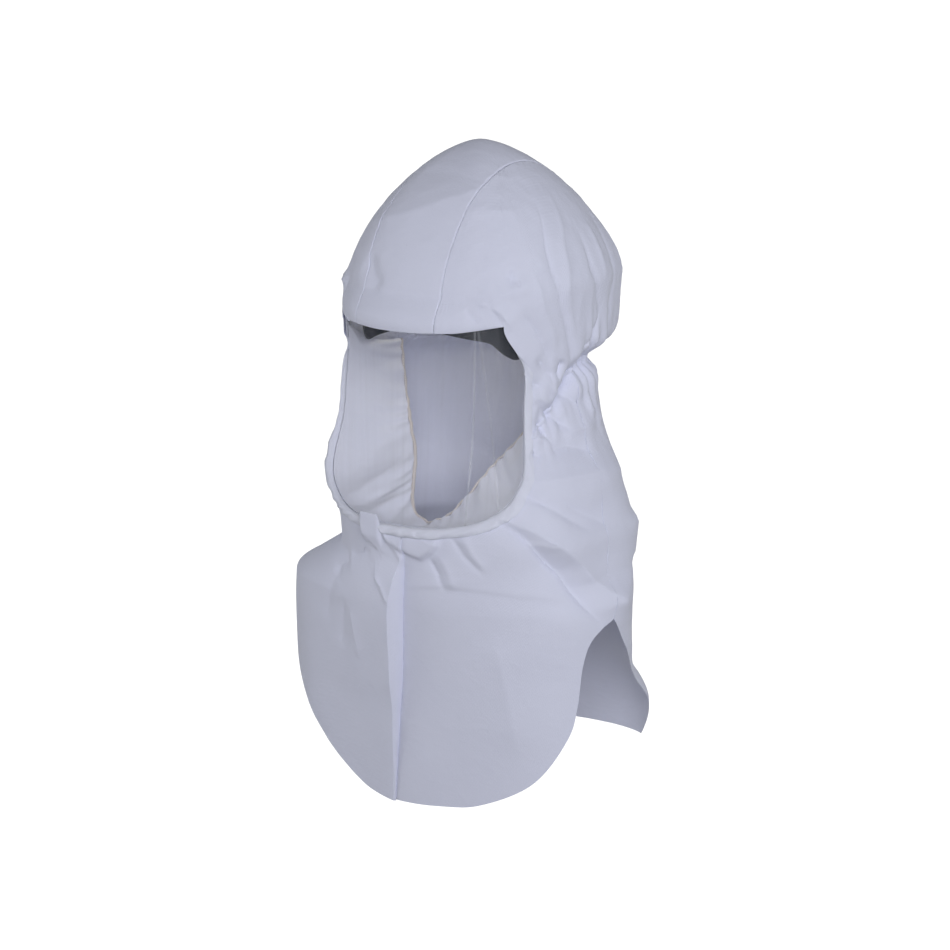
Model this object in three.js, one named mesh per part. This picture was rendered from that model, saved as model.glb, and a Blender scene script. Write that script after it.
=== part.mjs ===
import * as THREE from 'three';

// Driving sizes in millimetres. The front faces -Y, +X is the wearer's left and +Z is up.
// The origin is the middle of the head band at brow level, where the hood sits on the head.
const CLOTH = 1.2;
const GAP = 0.3;
const GATHER_GAP = 1;
const TAPE_GAP = 0.7;
const SEAM_GAP = 0.4;
const LENS = { thick: 1, inset: 3.3, tuck: 12, lean: 3, underlap: 5, across: 16, down: 8 };
const TAPE = { width: 8, rise: 0.8, thick: 3, top: -2.2, across: 2 };
const CASING = { half: 2.6, rise: 0.9, thick: 3, steps: 56 };
const SEAL = { top: -38, billow: 7, inset: 6.2, across: 4 };
const ELASTIC = { radius: 1.7, sides: 6, steps: 40 };
const BAND = {
  middleY: 3, halfWidth: 86, halfDepth: 102, browSquareness: 2.5, napeSquareness: 2, thick: 2.2, steps: 48,
};
// How far a search for the face of the cloth looks, and how often it halves that.
const SEARCH = { far: 300, halvings: 40 };

// Horizontal sections of the cloth up to the waist of the crown. mid is the Y of the widest line;
// the other columns are the reach from there to the front, back, and wearer's right and left.
const SECTIONS = [
  { z: -430, mid: -15, front: 104, back: 128, right: 166, left: 162 },
  { z: -300, mid: -15, front: 106, back: 118, right: 166, left: 162 },
  { z: -250, mid: -11, front: 113, back: 111, right: 165, left: 161 },
  { z: -236, mid: -8, front: 116, back: 109, right: 146, left: 158 },
  { z: -222, mid: -5, front: 118, back: 107, right: 124, left: 155 },
  { z: -210, mid: -2, front: 121, back: 105, right: 107, left: 154 },
  { z: -190, mid: 0, front: 124, back: 104, right: 109, left: 156 },
  { z: -150, mid: 5, front: 128, back: 102, right: 128, left: 138 },
  { z: -100, mid: 13, front: 136, back: 98, right: 117, left: 110 },
  { z: -72, mid: 15, front: 138, back: 95, right: 115, left: 105 },
  { z: -45, mid: 16, front: 139, back: 117, right: 113, left: 108 },
  { z: 0, mid: 17, front: 140, back: 132, right: 109, left: 110 },
  { z: 25, mid: 17, front: 127, back: 132, right: 109, left: 113 },
];
const SQUARENESS = 2.15;
const DOME = { waist: 25, top: 144, apexY: 12, roundness: 1.52 };
const CROWN_HEART = new THREE.Vector3(0, 17, 10);
// Millimetres of cloth for a radian round the hood, so that a place on it is an arc and a height.
const DEVELOP = 122;
const NAPE_ARC = Math.PI * DEVELOP;

// The elastic gather: its height, and how deep it draws the cloth in, by arc from the front.
const GATHER = [
  { arc: 120, z: -100, draw: 3 },
  { arc: 150, z: -78, draw: 8 },
  { arc: 180, z: -54, draw: 13 },
  { arc: 206, z: -46, draw: 18 },
  { arc: 240, z: -48, draw: 20 },
  { arc: 266, z: -49, draw: 22 },
  { arc: 384, z: -50, draw: 18.5 },
];
const GATHER_REACH = { above: 11, below: 11, start: 40 };
const RUFFLES = { waves: 18, depth: 3, above: 55, below: 30 };

// The face window, by arc from the centre front: straight sides above the spring line, and a
// rounded foot below it.
const WINDOW = {
  hemHalf: 92, half: 114, fullAt: -45, spring: -100, foot: -176, power: 3, heart: -70, steps: 20,
};

// The two crown seams: half the width of the strip between them, by turn from the brow to the nape.
const SEAM = [
  { turn: -6.3, half: 41 },
  { turn: 90, half: 40 },
  { turn: 208.5, half: 42 },
];
const CROWN = {
  along: 20, across: 8, down: 10, hemSteps: 5, gatherSteps: 15,
  start: 14, nape: 16, cornerShare: 0.36, lean: 1.5,
};

// Lower edge of the front lobe on each side, from the centre front to the top of the arm slit.
const HEM_LEFT = [
  { arc: 0, z: -430 }, { arc: 53, z: -428 }, { arc: 90, z: -423 }, { arc: 128, z: -401 },
  { arc: 152, z: -361 }, { arc: 159, z: -332 }, { arc: 163, z: -295 }, { arc: 170, z: -273 },
  { arc: 188, z: -260 },
];
const HEM_RIGHT = [
  { arc: 0, z: -431 }, { arc: 38, z: -424 }, { arc: 73, z: -404 }, { arc: 94, z: -384 },
  { arc: 116, z: -358 }, { arc: 137, z: -335 }, { arc: 156, z: -305 }, { arc: 172, z: -277 },
  { arc: 188, z: -260 },
];
const BIB = { gathered: 6, down: 15, apart: 1, hemPoints: 80 };
// The back lobe runs from the arm slit out to a point and then across the back.
const BACK_LOBE = {
  slitZ: -260, cornerArc: 284, cornerZ: -406, footZ: -412, across: 30, seamRows: 7, slitRows: 6,
};

// Main folds of the cape, each between two places on the cloth; rise is out of the cloth.
const FOLDS = [
  { arc: 134, z: -133, toArc: 200, toZ: -142, rise: -3, width: 9 },
  { arc: 130, z: -152, toArc: 165, toZ: -175, rise: -5, width: 9 },
  { arc: 130, z: -165, toArc: 190, toZ: -228, rise: 7, width: 13 },
  { arc: 108, z: -180, toArc: 184, toZ: -248, rise: -8, width: 12 },
  { arc: 73, z: -188, toArc: 90, toZ: -220, rise: -4, width: 9 },
  { arc: -8, z: -199, toArc: 46, toZ: -201, rise: 6, width: 9 },
  { arc: 272, z: -335, toArc: 290, toZ: -460, rise: 20, width: 55 },
  { arc: -272, z: -335, toArc: -290, toZ: -460, rise: 20, width: 55 },
];
const FOLD_FADE = 0.15;

// The centre-front pleat: where it lies, and how far the wearer's right half stands out from the left.
const PLEAT = [
  { z: -431, arc: 1, depth: 3 },
  { z: -345, arc: 8.4, depth: 13 },
  { z: -318, arc: 11.2, depth: 20 },
  { z: -262, arc: 14, depth: 25 },
  { z: -228, arc: 14.5, depth: 19 },
  { z: -205, arc: 14.8, depth: 6 },
  { z: -185, arc: 15, depth: 2 },
];
const PLEAT_SPREAD = 70;
const PLEAT_ROWS = 24;

// Free edge of the face seal on the wearer's left, by share of the way from chin to temple.
const SEAL_EDGE = [
  { share: 0, x: 0, y: -68, z: -187 },
  { share: 0.14, x: 18, y: -63, z: -179 },
  { share: 0.42, x: 43, y: -27, z: -136 },
  { share: 0.58, x: 56, y: -15, z: -118 },
  { share: 0.8, x: 71, y: -2, z: -88 },
  { share: 1, x: 75, y: -4, z: -40 },
];

// Lower and upper edge of the head band, by turn in degrees from the brow to the nape.
const BAND_EDGES = [
  { turn: 0, low: -5.5, high: 17 },
  { turn: 14, low: -8, high: 16.5 },
  { turn: 35, low: -13.5, high: 15.5 },
  { turn: 48, low: -17.5, high: 13 },
  { turn: 58, low: -29, high: 8 },
  { turn: 66, low: -34.5, high: 0 },
  { turn: 76, low: -34, high: -10 },
  { turn: 100, low: -34, high: -18 },
  { turn: 180, low: -52, high: -34 },
];

const CLOTH_COLOR = '#d4d6e2';
const TAPE_COLOR = '#dddfe9';
const ELASTIC_COLOR = '#d9cfc6';
const BAND_COLOR = '#373b42';
const LENS_COLOR = '#e8ecf2';

const { clamp, degToRad, lerp, smoothstep } = THREE.MathUtils;
const place = (arc, z) => new THREE.Vector2(arc, z);
const steps = (count, make) => Array.from({ length: count + 1 }, (_, k) => make(k / count));

// Value of one named column at a place along the rows, on a smooth curve that does not overshoot.
function column(rows, along, key, at) {
  const last = rows.length - 1;
  const x = clamp(at, rows[0][along], rows[last][along]);
  let i = 0;
  while (i < last - 1 && rows[i + 1][along] < x) i += 1;
  const slope = (k) => (rows[k + 1][key] - rows[k][key]) / (rows[k + 1][along] - rows[k][along]);
  const tangent = (k) => {
    if (k === 0) return slope(0);
    if (k === last) return slope(last - 1);
    const before = slope(k - 1);
    const after = slope(k);
    return before * after > 0 ? (2 * before * after) / (before + after) : 0;
  };
  const span = rows[i + 1][along] - rows[i][along];
  const t = (x - rows[i][along]) / span;
  const ease = t * t * (3 - 2 * t);
  const start = t * (1 - t) * (1 - t) * span * tangent(i);
  const end = t * t * (t - 1) * span * tangent(i + 1);
  return rows[i][key] * (1 - ease) + rows[i + 1][key] * ease + start + end;
}

function section(z) {
  const low = Math.min(z, DOME.waist);
  const at = (key) => column(SECTIONS, 'z', key, low);
  const climb = clamp((z - DOME.waist) / (DOME.top - DOME.waist), 0, 1);
  const shrink = (1 - climb ** DOME.roundness) ** (1 / DOME.roundness);
  return {
    mid: lerp(at('mid'), DOME.apexY, climb),
    front: at('front') * shrink,
    back: at('back') * shrink,
    right: at('right') * shrink,
    left: at('left') * shrink,
  };
}

function gatherZ(arc) {
  return column(GATHER, 'arc', 'z', Math.abs(arc));
}

// How far the elastic draws the cloth in, with the ruffles that it makes.
function gatherDraw(arc, z) {
  const away = Math.abs(arc);
  const height = z - gatherZ(arc);
  const near = height > 0 ? GATHER_REACH.above : GATHER_REACH.below;
  const fade = height > 0 ? RUFFLES.above : RUFFLES.below;
  const wave = Math.cos((arc / DEVELOP) * RUFFLES.waves);
  const start = smoothstep(away, GATHER[0].arc, GATHER[0].arc + GATHER_REACH.start);
  const draw = column(GATHER, 'arc', 'draw', away) * Math.exp(-((height / near) ** 2));
  return start * (draw + RUFFLES.depth * wave * Math.exp(-Math.abs(height) / fade));
}

function foldRise(arc, z) {
  let rise = 0;
  for (const fold of FOLDS) {
    const run = place(fold.toArc - fold.arc, fold.toZ - fold.z);
    const way = place(arc - fold.arc, z - fold.z);
    const along = way.dot(run) / run.lengthSq();
    const off = way.cross(run) / run.length();
    const begun = smoothstep(along, -FOLD_FADE, FOLD_FADE);
    const ended = smoothstep(along, 1 - FOLD_FADE, 1 + FOLD_FADE);
    rise += fold.rise * begun * (1 - ended) * Math.exp(-((off / fold.width) ** 2));
  }
  return rise;
}

const pleatArc = (z) => column(PLEAT, 'z', 'arc', z);

function pleatRise(arc, z) {
  const away = arc - pleatArc(z);
  if (away > 0) return 0;
  return column(PLEAT, 'z', 'depth', z) * Math.exp(-((away / PLEAT_SPREAD) ** 2));
}

// Distance of the outer face of the cloth from the middle line, at an arc and a height.
function reach(arc, z) {
  const angle = arc / DEVELOP;
  const form = section(z);
  const side = Math.sin(angle) > 0 ? form.left : form.right;
  const depth = Math.cos(angle) > 0 ? form.front : form.back;
  const p = SQUARENESS;
  const sum = (Math.abs(Math.sin(angle)) / side) ** p + (Math.abs(Math.cos(angle)) / depth) ** p;
  return sum ** (-1 / p) - gatherDraw(arc, z) + foldRise(arc, z);
}

// The place on the cloth at an arc and a height, moved out by lift.
function onCloth(arc, z, lift = 0) {
  const angle = arc / DEVELOP;
  const r = reach(arc, z) + lift;
  const y = section(z).mid - r * Math.cos(angle) - pleatRise(arc, z);
  return new THREE.Vector3(r * Math.sin(angle), y, z);
}

function arcOf(point) {
  return Math.atan2(point.x, section(point.z).mid - point.y) * DEVELOP;
}

// The place where a ray from inside the crown meets the cloth.
function castToCrown(from, way) {
  let near = 0;
  let far = SEARCH.far;
  for (let i = 0; i < SEARCH.halvings; i += 1) {
    const half = (near + far) / 2;
    const p = way.clone().multiplyScalar(half).add(from);
    const out = Math.hypot(p.x, p.y - section(p.z).mid);
    if (p.z < DOME.top && out < reach(arcOf(p), p.z)) near = half;
    else far = half;
  }
  return way.clone().multiplyScalar(near).add(from);
}

function pushToCrown(point) {
  return castToCrown(CROWN_HEART, point.clone().sub(CROWN_HEART).normalize());
}

function meshFrom(points, index) {
  const geometry = new THREE.BufferGeometry();
  const numbers = points.flatMap((p) => [p.x, p.y, p.z]);
  geometry.setAttribute('position', new THREE.Float32BufferAttribute(numbers, 3));
  geometry.setIndex(index);
  geometry.computeVertexNormals();
  return geometry;
}

// A closed wall from a grid of places on its outer face.
function wall(grid, thick) {
  const rows = grid.length;
  const cols = grid[0].length;
  const inner = [];
  for (let i = 0; i < rows; i += 1) {
    for (let j = 0; j < cols; j += 1) {
      const down = grid[Math.min(i + 1, rows - 1)][j].clone().sub(grid[Math.max(i - 1, 0)][j]);
      const across = grid[i][Math.min(j + 1, cols - 1)].clone().sub(grid[i][Math.max(j - 1, 0)]);
      inner.push(grid[i][j].clone().addScaledVector(down.cross(across).normalize(), -thick));
    }
  }
  const index = [];
  const face = (a, b, c, d) => index.push(a, b, c, a, c, d);
  const at = (i, j) => i * cols + j;
  const under = (i, j) => rows * cols + i * cols + j;
  for (let i = 0; i < rows - 1; i += 1) {
    for (let j = 0; j < cols - 1; j += 1) {
      face(at(i, j), at(i + 1, j), at(i + 1, j + 1), at(i, j + 1));
      face(under(i, j), under(i, j + 1), under(i + 1, j + 1), under(i + 1, j));
    }
    face(at(i, 0), under(i, 0), under(i + 1, 0), at(i + 1, 0));
    face(at(i + 1, cols - 1), under(i + 1, cols - 1), under(i, cols - 1), at(i, cols - 1));
  }
  for (let j = 0; j < cols - 1; j += 1) {
    face(at(0, j + 1), under(0, j + 1), under(0, j), at(0, j));
    face(at(rows - 1, j), under(rows - 1, j), under(rows - 1, j + 1), at(rows - 1, j + 1));
  }
  return meshFrom(grid.flat().concat(inner), index);
}

// A closed ring from a list of sections, each the same number of places round its edge.
function ring(sections) {
  const sides = sections[0].length;
  const index = [];
  sections.forEach((_, i) => {
    const next = (i + 1) % sections.length;
    for (let k = 0; k < sides; k += 1) {
      const turn = (k + 1) % sides;
      const [a, b] = [i * sides + k, i * sides + turn];
      const [c, d] = [next * sides + turn, next * sides + k];
      index.push(a, b, c, a, c, d);
    }
  });
  return meshFrom(sections.flat(), index);
}

// A grid of places between four edges. top and bottom run one way, first and last the other.
function patch(top, bottom, first, last) {
  const rows = first.length - 1;
  const cols = top.length - 1;
  return first.map((start, i) => top.map((above, j) => {
    const v = i / rows;
    const u = j / cols;
    const ruled = above.clone().lerp(bottom[j], v).add(start.clone().lerp(last[i], u));
    const upper = top[0].clone().lerp(top[cols], u);
    const lower = bottom[0].clone().lerp(bottom[cols], u);
    return ruled.sub(upper.lerp(lower, v));
  }));
}

// Places evenly spread along a run of places.
function spread(places, count) {
  const far = [0];
  for (let i = 1; i < places.length; i += 1) far.push(far[i - 1] + places[i].distanceTo(places[i - 1]));
  const total = far[far.length - 1];
  return steps(count, (t) => {
    let i = 0;
    while (i < places.length - 2 && far[i + 1] < total * t) i += 1;
    return places[i].clone().lerp(places[i + 1], (total * t - far[i]) / (far[i + 1] - far[i]));
  });
}

const straight = (from, to, count) => steps(count, (t) => from.clone().lerp(to, t));

function smoothRun(rows, count) {
  const curve = new THREE.SplineCurve(rows.map((row) => place(row.arc, row.z)));
  return curve.getPoints(count);
}

// Half the window's width at a height, with its edge moved out by grow.
function windowHalf(z, grow) {
  const full = smoothstep(-z, 0, -WINDOW.fullAt);
  const half = lerp(WINDOW.hemHalf, WINDOW.half, full) + grow;
  if (z >= WINDOW.spring) return half;
  const drop = Math.min(1, (WINDOW.spring - z) / (WINDOW.spring - WINDOW.foot + grow));
  return half * (1 - drop ** WINDOW.power) ** (1 / WINDOW.power);
}

// The edge of the window on the wearer's left, from the foot up to the brow.
function windowEdge(grow) {
  const turnEnd = Math.atan2(WINDOW.hemHalf + grow, WINDOW.heart);
  return steps(WINDOW.steps, (t) => {
    const way = place(Math.sin(t * turnEnd), -Math.cos(t * turnEnd));
    let near = 0;
    let far = SEARCH.far;
    for (let i = 0; i < SEARCH.halvings; i += 1) {
      const half = (near + far) / 2;
      if (half * way.x < windowHalf(WINDOW.heart + half * way.y, grow)) near = half;
      else far = half;
      if (t === 0) near = Math.min(near, WINDOW.heart - WINDOW.foot + grow);
    }
    return place(near * way.x, WINDOW.heart + near * way.y);
  });
}

const mirrored = (places) => places.map((p) => place(-p.x, p.y));
const bothSides = (edge) => mirrored(edge).reverse().concat(edge.slice(1));

// Cloth edge round the window. Below GATHER_STEP it is the bib's, above it the crown's.
const CLOTH_EDGE = windowEdge(TAPE.width + TAPE_GAP);
const GATHER_STEP = CLOTH_EDGE.findIndex((p) => p.y > WINDOW.spring);
const SIDE_ARC = HEM_LEFT[HEM_LEFT.length - 1].arc;

// Heights of the cloth edges above and below the elastic casing.
const aboveCasing = (arc) => place(arc, gatherZ(arc) + CASING.half + GATHER_GAP);
const belowCasing = (arc) => place(arc, gatherZ(arc) - CASING.half - GATHER_GAP);

// A place on a crown seam, by share of the way from brow to nape. hand is 1 for the wearer's left
// seam and -1 for the right, and aside is out from the strip between them.
function seamPlace(hand, share, aside) {
  const turn = lerp(SEAM[0].turn, SEAM[SEAM.length - 1].turn, share);
  const x = hand * (column(SEAM, 'turn', 'half', turn) + aside);
  const way = new THREE.Vector3(0, -Math.cos(degToRad(turn)), Math.sin(degToRad(turn)));
  return castToCrown(new THREE.Vector3(x, CROWN_HEART.y, CROWN_HEART.z), way);
}

function crownGusset() {
  const grid = steps(CROWN.along, (share) => {
    const right = seamPlace(-1, share, -SEAM_GAP);
    const left = seamPlace(1, share, -SEAM_GAP);
    return straight(left, right, CROWN.across).map(pushToCrown);
  });
  return wall(grid, CLOTH);
}

// A side of the crown. Its lower edge runs along the brow hem, down beside the window and back along
// the gather, and each place on it is joined to the seam above.
function crownSide(hand) {
  const brow = seamPlace(hand, 0, SEAM_GAP);
  const browArc = hand * arcOf(brow) + CROWN.start;
  const napeArc = hand * arcOf(seamPlace(hand, 1, SEAM_GAP)) - CROWN.nape;
  const corner = CLOTH_EDGE[WINDOW.steps];
  const hem = straight(place(browArc, brow.z), corner, CROWN.hemSteps).slice(0, -1);
  const beside = CLOTH_EDGE.slice(GATHER_STEP + 1).reverse();
  const gatherStart = CLOTH_EDGE[GATHER_STEP].x;
  const gatherRun = steps(CROWN.gatherSteps, (t) => aboveCasing(lerp(gatherStart, napeArc, t)));
  const hemShares = hem.map((_, k) => (CROWN.cornerShare * k) / CROWN.hemSteps);
  const rest = [...beside, ...gatherRun];
  const restShares = rest.map((_, k) => lerp(CROWN.cornerShare, 1, (k / (rest.length - 1)) ** CROWN.lean));
  const shares = [...hemShares, ...restShares];
  const columns = [...hem, ...rest].map((p, k) => {
    const top = seamPlace(hand, shares[k], SEAM_GAP);
    const foot = onCloth(hand * p.x, p.y);
    const between = straight(top, foot, CROWN.down).slice(1, -1);
    return [top, ...between.map(pushToCrown), foot];
  });
  if (hand < 0) columns.reverse();
  return wall(columns[0].map((_, i) => columns.map((line) => line[i])), CLOTH);
}

// The film of the visor, tucked up behind the brow and out under the tape.
function visorLens() {
  const edge = windowEdge(LENS.underlap);
  const springStep = edge.findIndex((p) => p.y > WINDOW.spring);
  const corner = place(edge[WINDOW.steps].x, LENS.tuck);
  const top = straight(place(-corner.x, corner.y), corner, LENS.across);
  const bottom = spread(bothSides(edge.slice(0, springStep + 1)), LENS.across);
  const last = spread([corner, ...edge.slice(springStep).reverse()], LENS.down);
  const grid = patch(top, bottom, mirrored(last), last);
  const inset = (z) => LENS.inset + (LENS.lean * Math.max(0, z)) / LENS.tuck;
  return wall(grid.map((row) => row.map((p) => onCloth(p.x, p.y, -inset(p.y)))), LENS.thick);
}

// The rolled tape round the sides and foot of the visor.
function visorTape() {
  const rows = steps(TAPE.across, (v) => bothSides(windowEdge(TAPE.width * v)));
  const grid = rows.map((row) => row.map((p) => onCloth(p.x, Math.min(p.y, TAPE.top), TAPE.rise)));
  return wall(grid, TAPE.thick);
}

// The casing of the neck elastic, from one side of the visor round the nape to the other.
function neckElastic() {
  const start = CLOTH_EDGE[GATHER_STEP].x + GAP;
  const heights = [CASING.half, -CASING.half];
  const grid = heights.map((height) => steps(CASING.steps, (t) => {
    const arc = lerp(start, 2 * NAPE_ARC - start, t);
    const turned = arc > NAPE_ARC ? arc - 2 * NAPE_ARC : arc;
    return onCloth(turned, gatherZ(turned) + height, CASING.rise);
  }));
  return wall(grid, CASING.thick);
}

function bib(hand, rows) {
  const start = (z) => hand * pleatArc(z) + CLOTH / 2 + GAP;
  const end = SIDE_ARC - GATHER_GAP;
  const [high, low] = [CLOTH_EDGE[0].y, rows[0].z];
  const beside = bothSides(CLOTH_EDGE.slice(0, GATHER_STEP)).filter((p) => p.x > start(high) + BIB.apart);
  const gatherRun = steps(BIB.gathered, (t) => belowCasing(lerp(CLOTH_EDGE[GATHER_STEP].x, end, t)));
  const hem = smoothRun(rows, BIB.hemPoints).filter((p) => p.x > start(low) && p.x < end);
  const top = [place(start(high), high), ...beside, ...gatherRun];
  const across = top.length - 1;
  const bottom = spread([place(start(low), low), ...hem, place(end, rows[rows.length - 1].z)], across);
  const first = steps(BIB.down, (t) => place(start(lerp(high, low, t)), lerp(high, low, t)));
  const last = straight(top[across], bottom[across], BIB.down);
  const grid = patch(top, bottom, first, last).map((row) => row.map((p) => onCloth(hand * p.x, p.y)));
  return wall(hand > 0 ? grid : grid.map((row) => row.reverse()), CLOTH);
}

function capeBack() {
  const lobe = BACK_LOBE;
  const start = belowCasing(SIDE_ARC + GAP);
  const slit = place(start.x, lobe.slitZ);
  const corner = place(lobe.cornerArc, lobe.cornerZ);
  const across = (p) => place(2 * NAPE_ARC - p.x, p.y);
  const turned = (arc) => (arc > NAPE_ARC ? arc - 2 * NAPE_ARC : arc);
  const first = straight(start, slit, lobe.seamRows).concat(straight(slit, corner, lobe.slitRows).slice(1));
  const top = steps(lobe.across, (t) => {
    const arc = lerp(start.x, across(start).x, t);
    return place(arc, belowCasing(turned(arc)).y);
  });
  const foot = new THREE.QuadraticBezierCurve(corner, place(NAPE_ARC, lobe.footZ), across(corner));
  const grid = patch(top, foot.getPoints(lobe.across), first, first.map(across));
  return wall(grid.map((row) => row.map((p) => onCloth(turned(p.x), p.y))), CLOTH);
}

// The pleat's free side, between the edges of the two halves of the bib.
function frontFlange() {
  const [low, high] = [PLEAT[0].z, PLEAT[PLEAT.length - 1].z - 2 * GAP];
  const grid = steps(PLEAT_ROWS, (t) => {
    const z = lerp(high, low, t);
    const ridge = onCloth(pleatArc(z) - GAP, z);
    const crease = onCloth(pleatArc(z) + GAP, z, -CLOTH);
    const middle = onCloth(pleatArc(z) + CLOTH / 2, z).x;
    return [ridge.setX(middle), crease.setX(middle)];
  });
  return wall(grid, CLOTH);
}

// The free edge of the face seal, from the wearer's right temple under the chin to the left one.
function sealEdge(t) {
  const share = Math.abs(2 * t - 1);
  const at = (key) => column(SEAL_EDGE, 'share', key, share);
  return new THREE.Vector3(t < 0.5 ? -at('x') : at('x'), at('y'), at('z'));
}

function faceSeal() {
  const edge = windowEdge(0);
  const topStep = edge.findIndex((p) => p.y > SEAL.top);
  const outer = bothSides(edge.slice(0, topStep));
  const clear = ELASTIC.radius + 3 * GAP;
  const grid = outer.map((p, k) => {
    const from = onCloth(p.x, p.y, -SEAL.inset);
    const free = sealEdge(k / (outer.length - 1));
    const way = free.clone().sub(from);
    const to = free.clone().addScaledVector(way.clone().normalize(), -clear);
    return steps(SEAL.across, (v) => {
      const spot = from.clone().lerp(to, v);
      return spot.add(new THREE.Vector3(0, 0, -SEAL.billow * 4 * v * (1 - v)));
    });
  });
  return wall(grid, CLOTH);
}

function sealElastic() {
  const curve = new THREE.CatmullRomCurve3(steps(ELASTIC.steps, sealEdge));
  const circle = new THREE.Shape(steps(ELASTIC.sides - 1, (t) => {
    const turn = (2 * Math.PI * t * (ELASTIC.sides - 1)) / ELASTIC.sides;
    return place(ELASTIC.radius * Math.cos(turn), ELASTIC.radius * Math.sin(turn));
  }));
  return new THREE.ExtrudeGeometry(circle, { steps: ELASTIC.steps, extrudePath: curve, curveSegments: 1 });
}

function headBand() {
  const sections = steps(BAND.steps - 1, (t) => {
    const turn = (360 * t * (BAND.steps - 1)) / BAND.steps;
    const share = turn > 180 ? 360 - turn : turn;
    const low = column(BAND_EDGES, 'turn', 'low', share);
    const high = column(BAND_EDGES, 'turn', 'high', share);
    const power = 2 / (share < 90 ? BAND.browSquareness : BAND.napeSquareness);
    const bent = (v) => Math.sign(v) * Math.abs(v) ** power;
    const at = (inset, z) => new THREE.Vector3(
      (BAND.halfWidth - inset) * bent(Math.sin(degToRad(turn))),
      BAND.middleY - (BAND.halfDepth - inset) * bent(Math.cos(degToRad(turn))),
      z,
    );
    return [at(0, low), at(BAND.thick, low), at(BAND.thick, high), at(0, high)];
  });
  return ring(sections);
}

const hood = new THREE.Group();

function add(name, geometry, color, look = {}) {
  const material = new THREE.MeshStandardMaterial({ color, roughness: 0.85, metalness: 0, ...look });
  const mesh = new THREE.Mesh(geometry, material);
  mesh.name = name;
  hood.add(mesh);
}

add('crown_gusset', crownGusset(), CLOTH_COLOR);
add('crown_side_left', crownSide(1), CLOTH_COLOR);
add('crown_side_right', crownSide(-1), CLOTH_COLOR);
add('visor_lens', visorLens(), LENS_COLOR, { roughness: 0.08, transparent: true, opacity: 0.25 });
add('visor_tape', visorTape(), TAPE_COLOR);
add('neck_elastic', neckElastic(), CLOTH_COLOR);
add('bib_left', bib(1, HEM_LEFT), CLOTH_COLOR);
add('bib_right', bib(-1, HEM_RIGHT), CLOTH_COLOR);
add('cape_back', capeBack(), CLOTH_COLOR);
add('front_flange', frontFlange(), CLOTH_COLOR);
add('face_seal', faceSeal(), CLOTH_COLOR);
add('seal_elastic', sealElastic(), ELASTIC_COLOR, { roughness: 0.7 });
add('head_band', headBand(), BAND_COLOR, { roughness: 0.45 });

export default hood;
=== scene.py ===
# %% [markdown]
# # A disposable respirator hood
# The hood is a loose bag of nonwoven cloth that hangs from a plastic band on the head. A clear film is
# sewn into its front, an elastic draws it in behind the jaw and round the nape, and a bib and a cape fall
# over the shoulders. The solids are already packed in one frame, so the first step is to load them. Every
# piece made below is in metres in that same frame and stands for one of the solids.

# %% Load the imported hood
import math

import bpy
import numpy as np
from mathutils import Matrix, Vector, noise


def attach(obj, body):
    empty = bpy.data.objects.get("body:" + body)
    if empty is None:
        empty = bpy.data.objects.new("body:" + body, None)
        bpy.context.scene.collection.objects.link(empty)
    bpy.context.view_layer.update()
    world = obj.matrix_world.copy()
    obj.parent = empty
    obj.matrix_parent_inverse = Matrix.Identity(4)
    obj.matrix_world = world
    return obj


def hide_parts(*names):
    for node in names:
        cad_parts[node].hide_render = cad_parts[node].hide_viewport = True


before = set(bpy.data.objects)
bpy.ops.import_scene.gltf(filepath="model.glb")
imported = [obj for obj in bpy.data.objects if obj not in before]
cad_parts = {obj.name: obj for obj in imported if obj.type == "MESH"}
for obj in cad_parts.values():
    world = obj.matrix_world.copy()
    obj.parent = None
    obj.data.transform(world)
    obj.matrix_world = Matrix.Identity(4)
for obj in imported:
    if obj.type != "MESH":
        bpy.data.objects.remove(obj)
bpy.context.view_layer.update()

# %% [markdown]
# ## The camera
# The photo looks down a little at the wearer's left cheek. A long lens from far away keeps the crown and
# the hem at the same scale, which is how the photo looks. The camera sits on a line from a target in the
# middle of the picture, so azimuth, elevation and distance are the only numbers it needs.

# %% Camera
VIEW_AZIMUTH, VIEW_ELEVATION, VIEW_DISTANCE = 35, 14, 2.6
VIEW_TARGET = Vector((0.0302, -0.0381, -0.1453))
LENS_LENGTH, SENSOR_WIDTH = 111.7, 36


def standing(azimuth, elevation, distance):
    a, e = math.radians(azimuth), math.radians(elevation)
    way = Vector((math.sin(a) * math.cos(e), -math.cos(a) * math.cos(e), math.sin(e)))
    return VIEW_TARGET + way * distance


def put(name, data, place=(0, 0, 0), target=None):
    holder = bpy.data.objects.new(name, data)
    holder.location = place
    if target is not None:
        holder.rotation_euler = (place - target).to_track_quat("Z", "Y").to_euler()
    bpy.context.scene.collection.objects.link(holder)
    return holder


camera_data = bpy.data.cameras.new("photo_camera")
camera_data.lens, camera_data.sensor_width = LENS_LENGTH, SENSOR_WIDTH
camera_place = standing(VIEW_AZIMUTH, VIEW_ELEVATION, VIEW_DISTANCE)
bpy.context.scene.camera = put("photo_camera", camera_data, camera_place, VIEW_TARGET)
print("camera at", [round(v, 3) for v in camera_place])

# %% [markdown]
# ## The form of the cloth
# The hood could be sculpted, or draped by simulation over a head. Here the solids already give its form as
# horizontal sections, so the same sections are used again, in millimetres, and the cloth is laid on them
# with a much finer grid. A place on the cloth is an arc, measured round the hood from the centre front, and
# a height. Tables with named columns keep the numbers together, and a smooth curve runs through their rows.

# %% Tables and the curve through them
def table(names, *rows):
    return dict(zip(names.split(), np.array(rows, float).T))


def mix(a, b, t):
    return a + (b - a) * t


def ease(t):
    return t * t * (3 - 2 * t)


def smoothstep(x, low, high):
    return ease(np.clip((x - low) / (high - low), 0, 1))


def hermite(t, a, b, leave, arrive):
    return mix(a, b, ease(t)) + t * (1 - t) ** 2 * leave + t * t * (t - 1) * arrive


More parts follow.
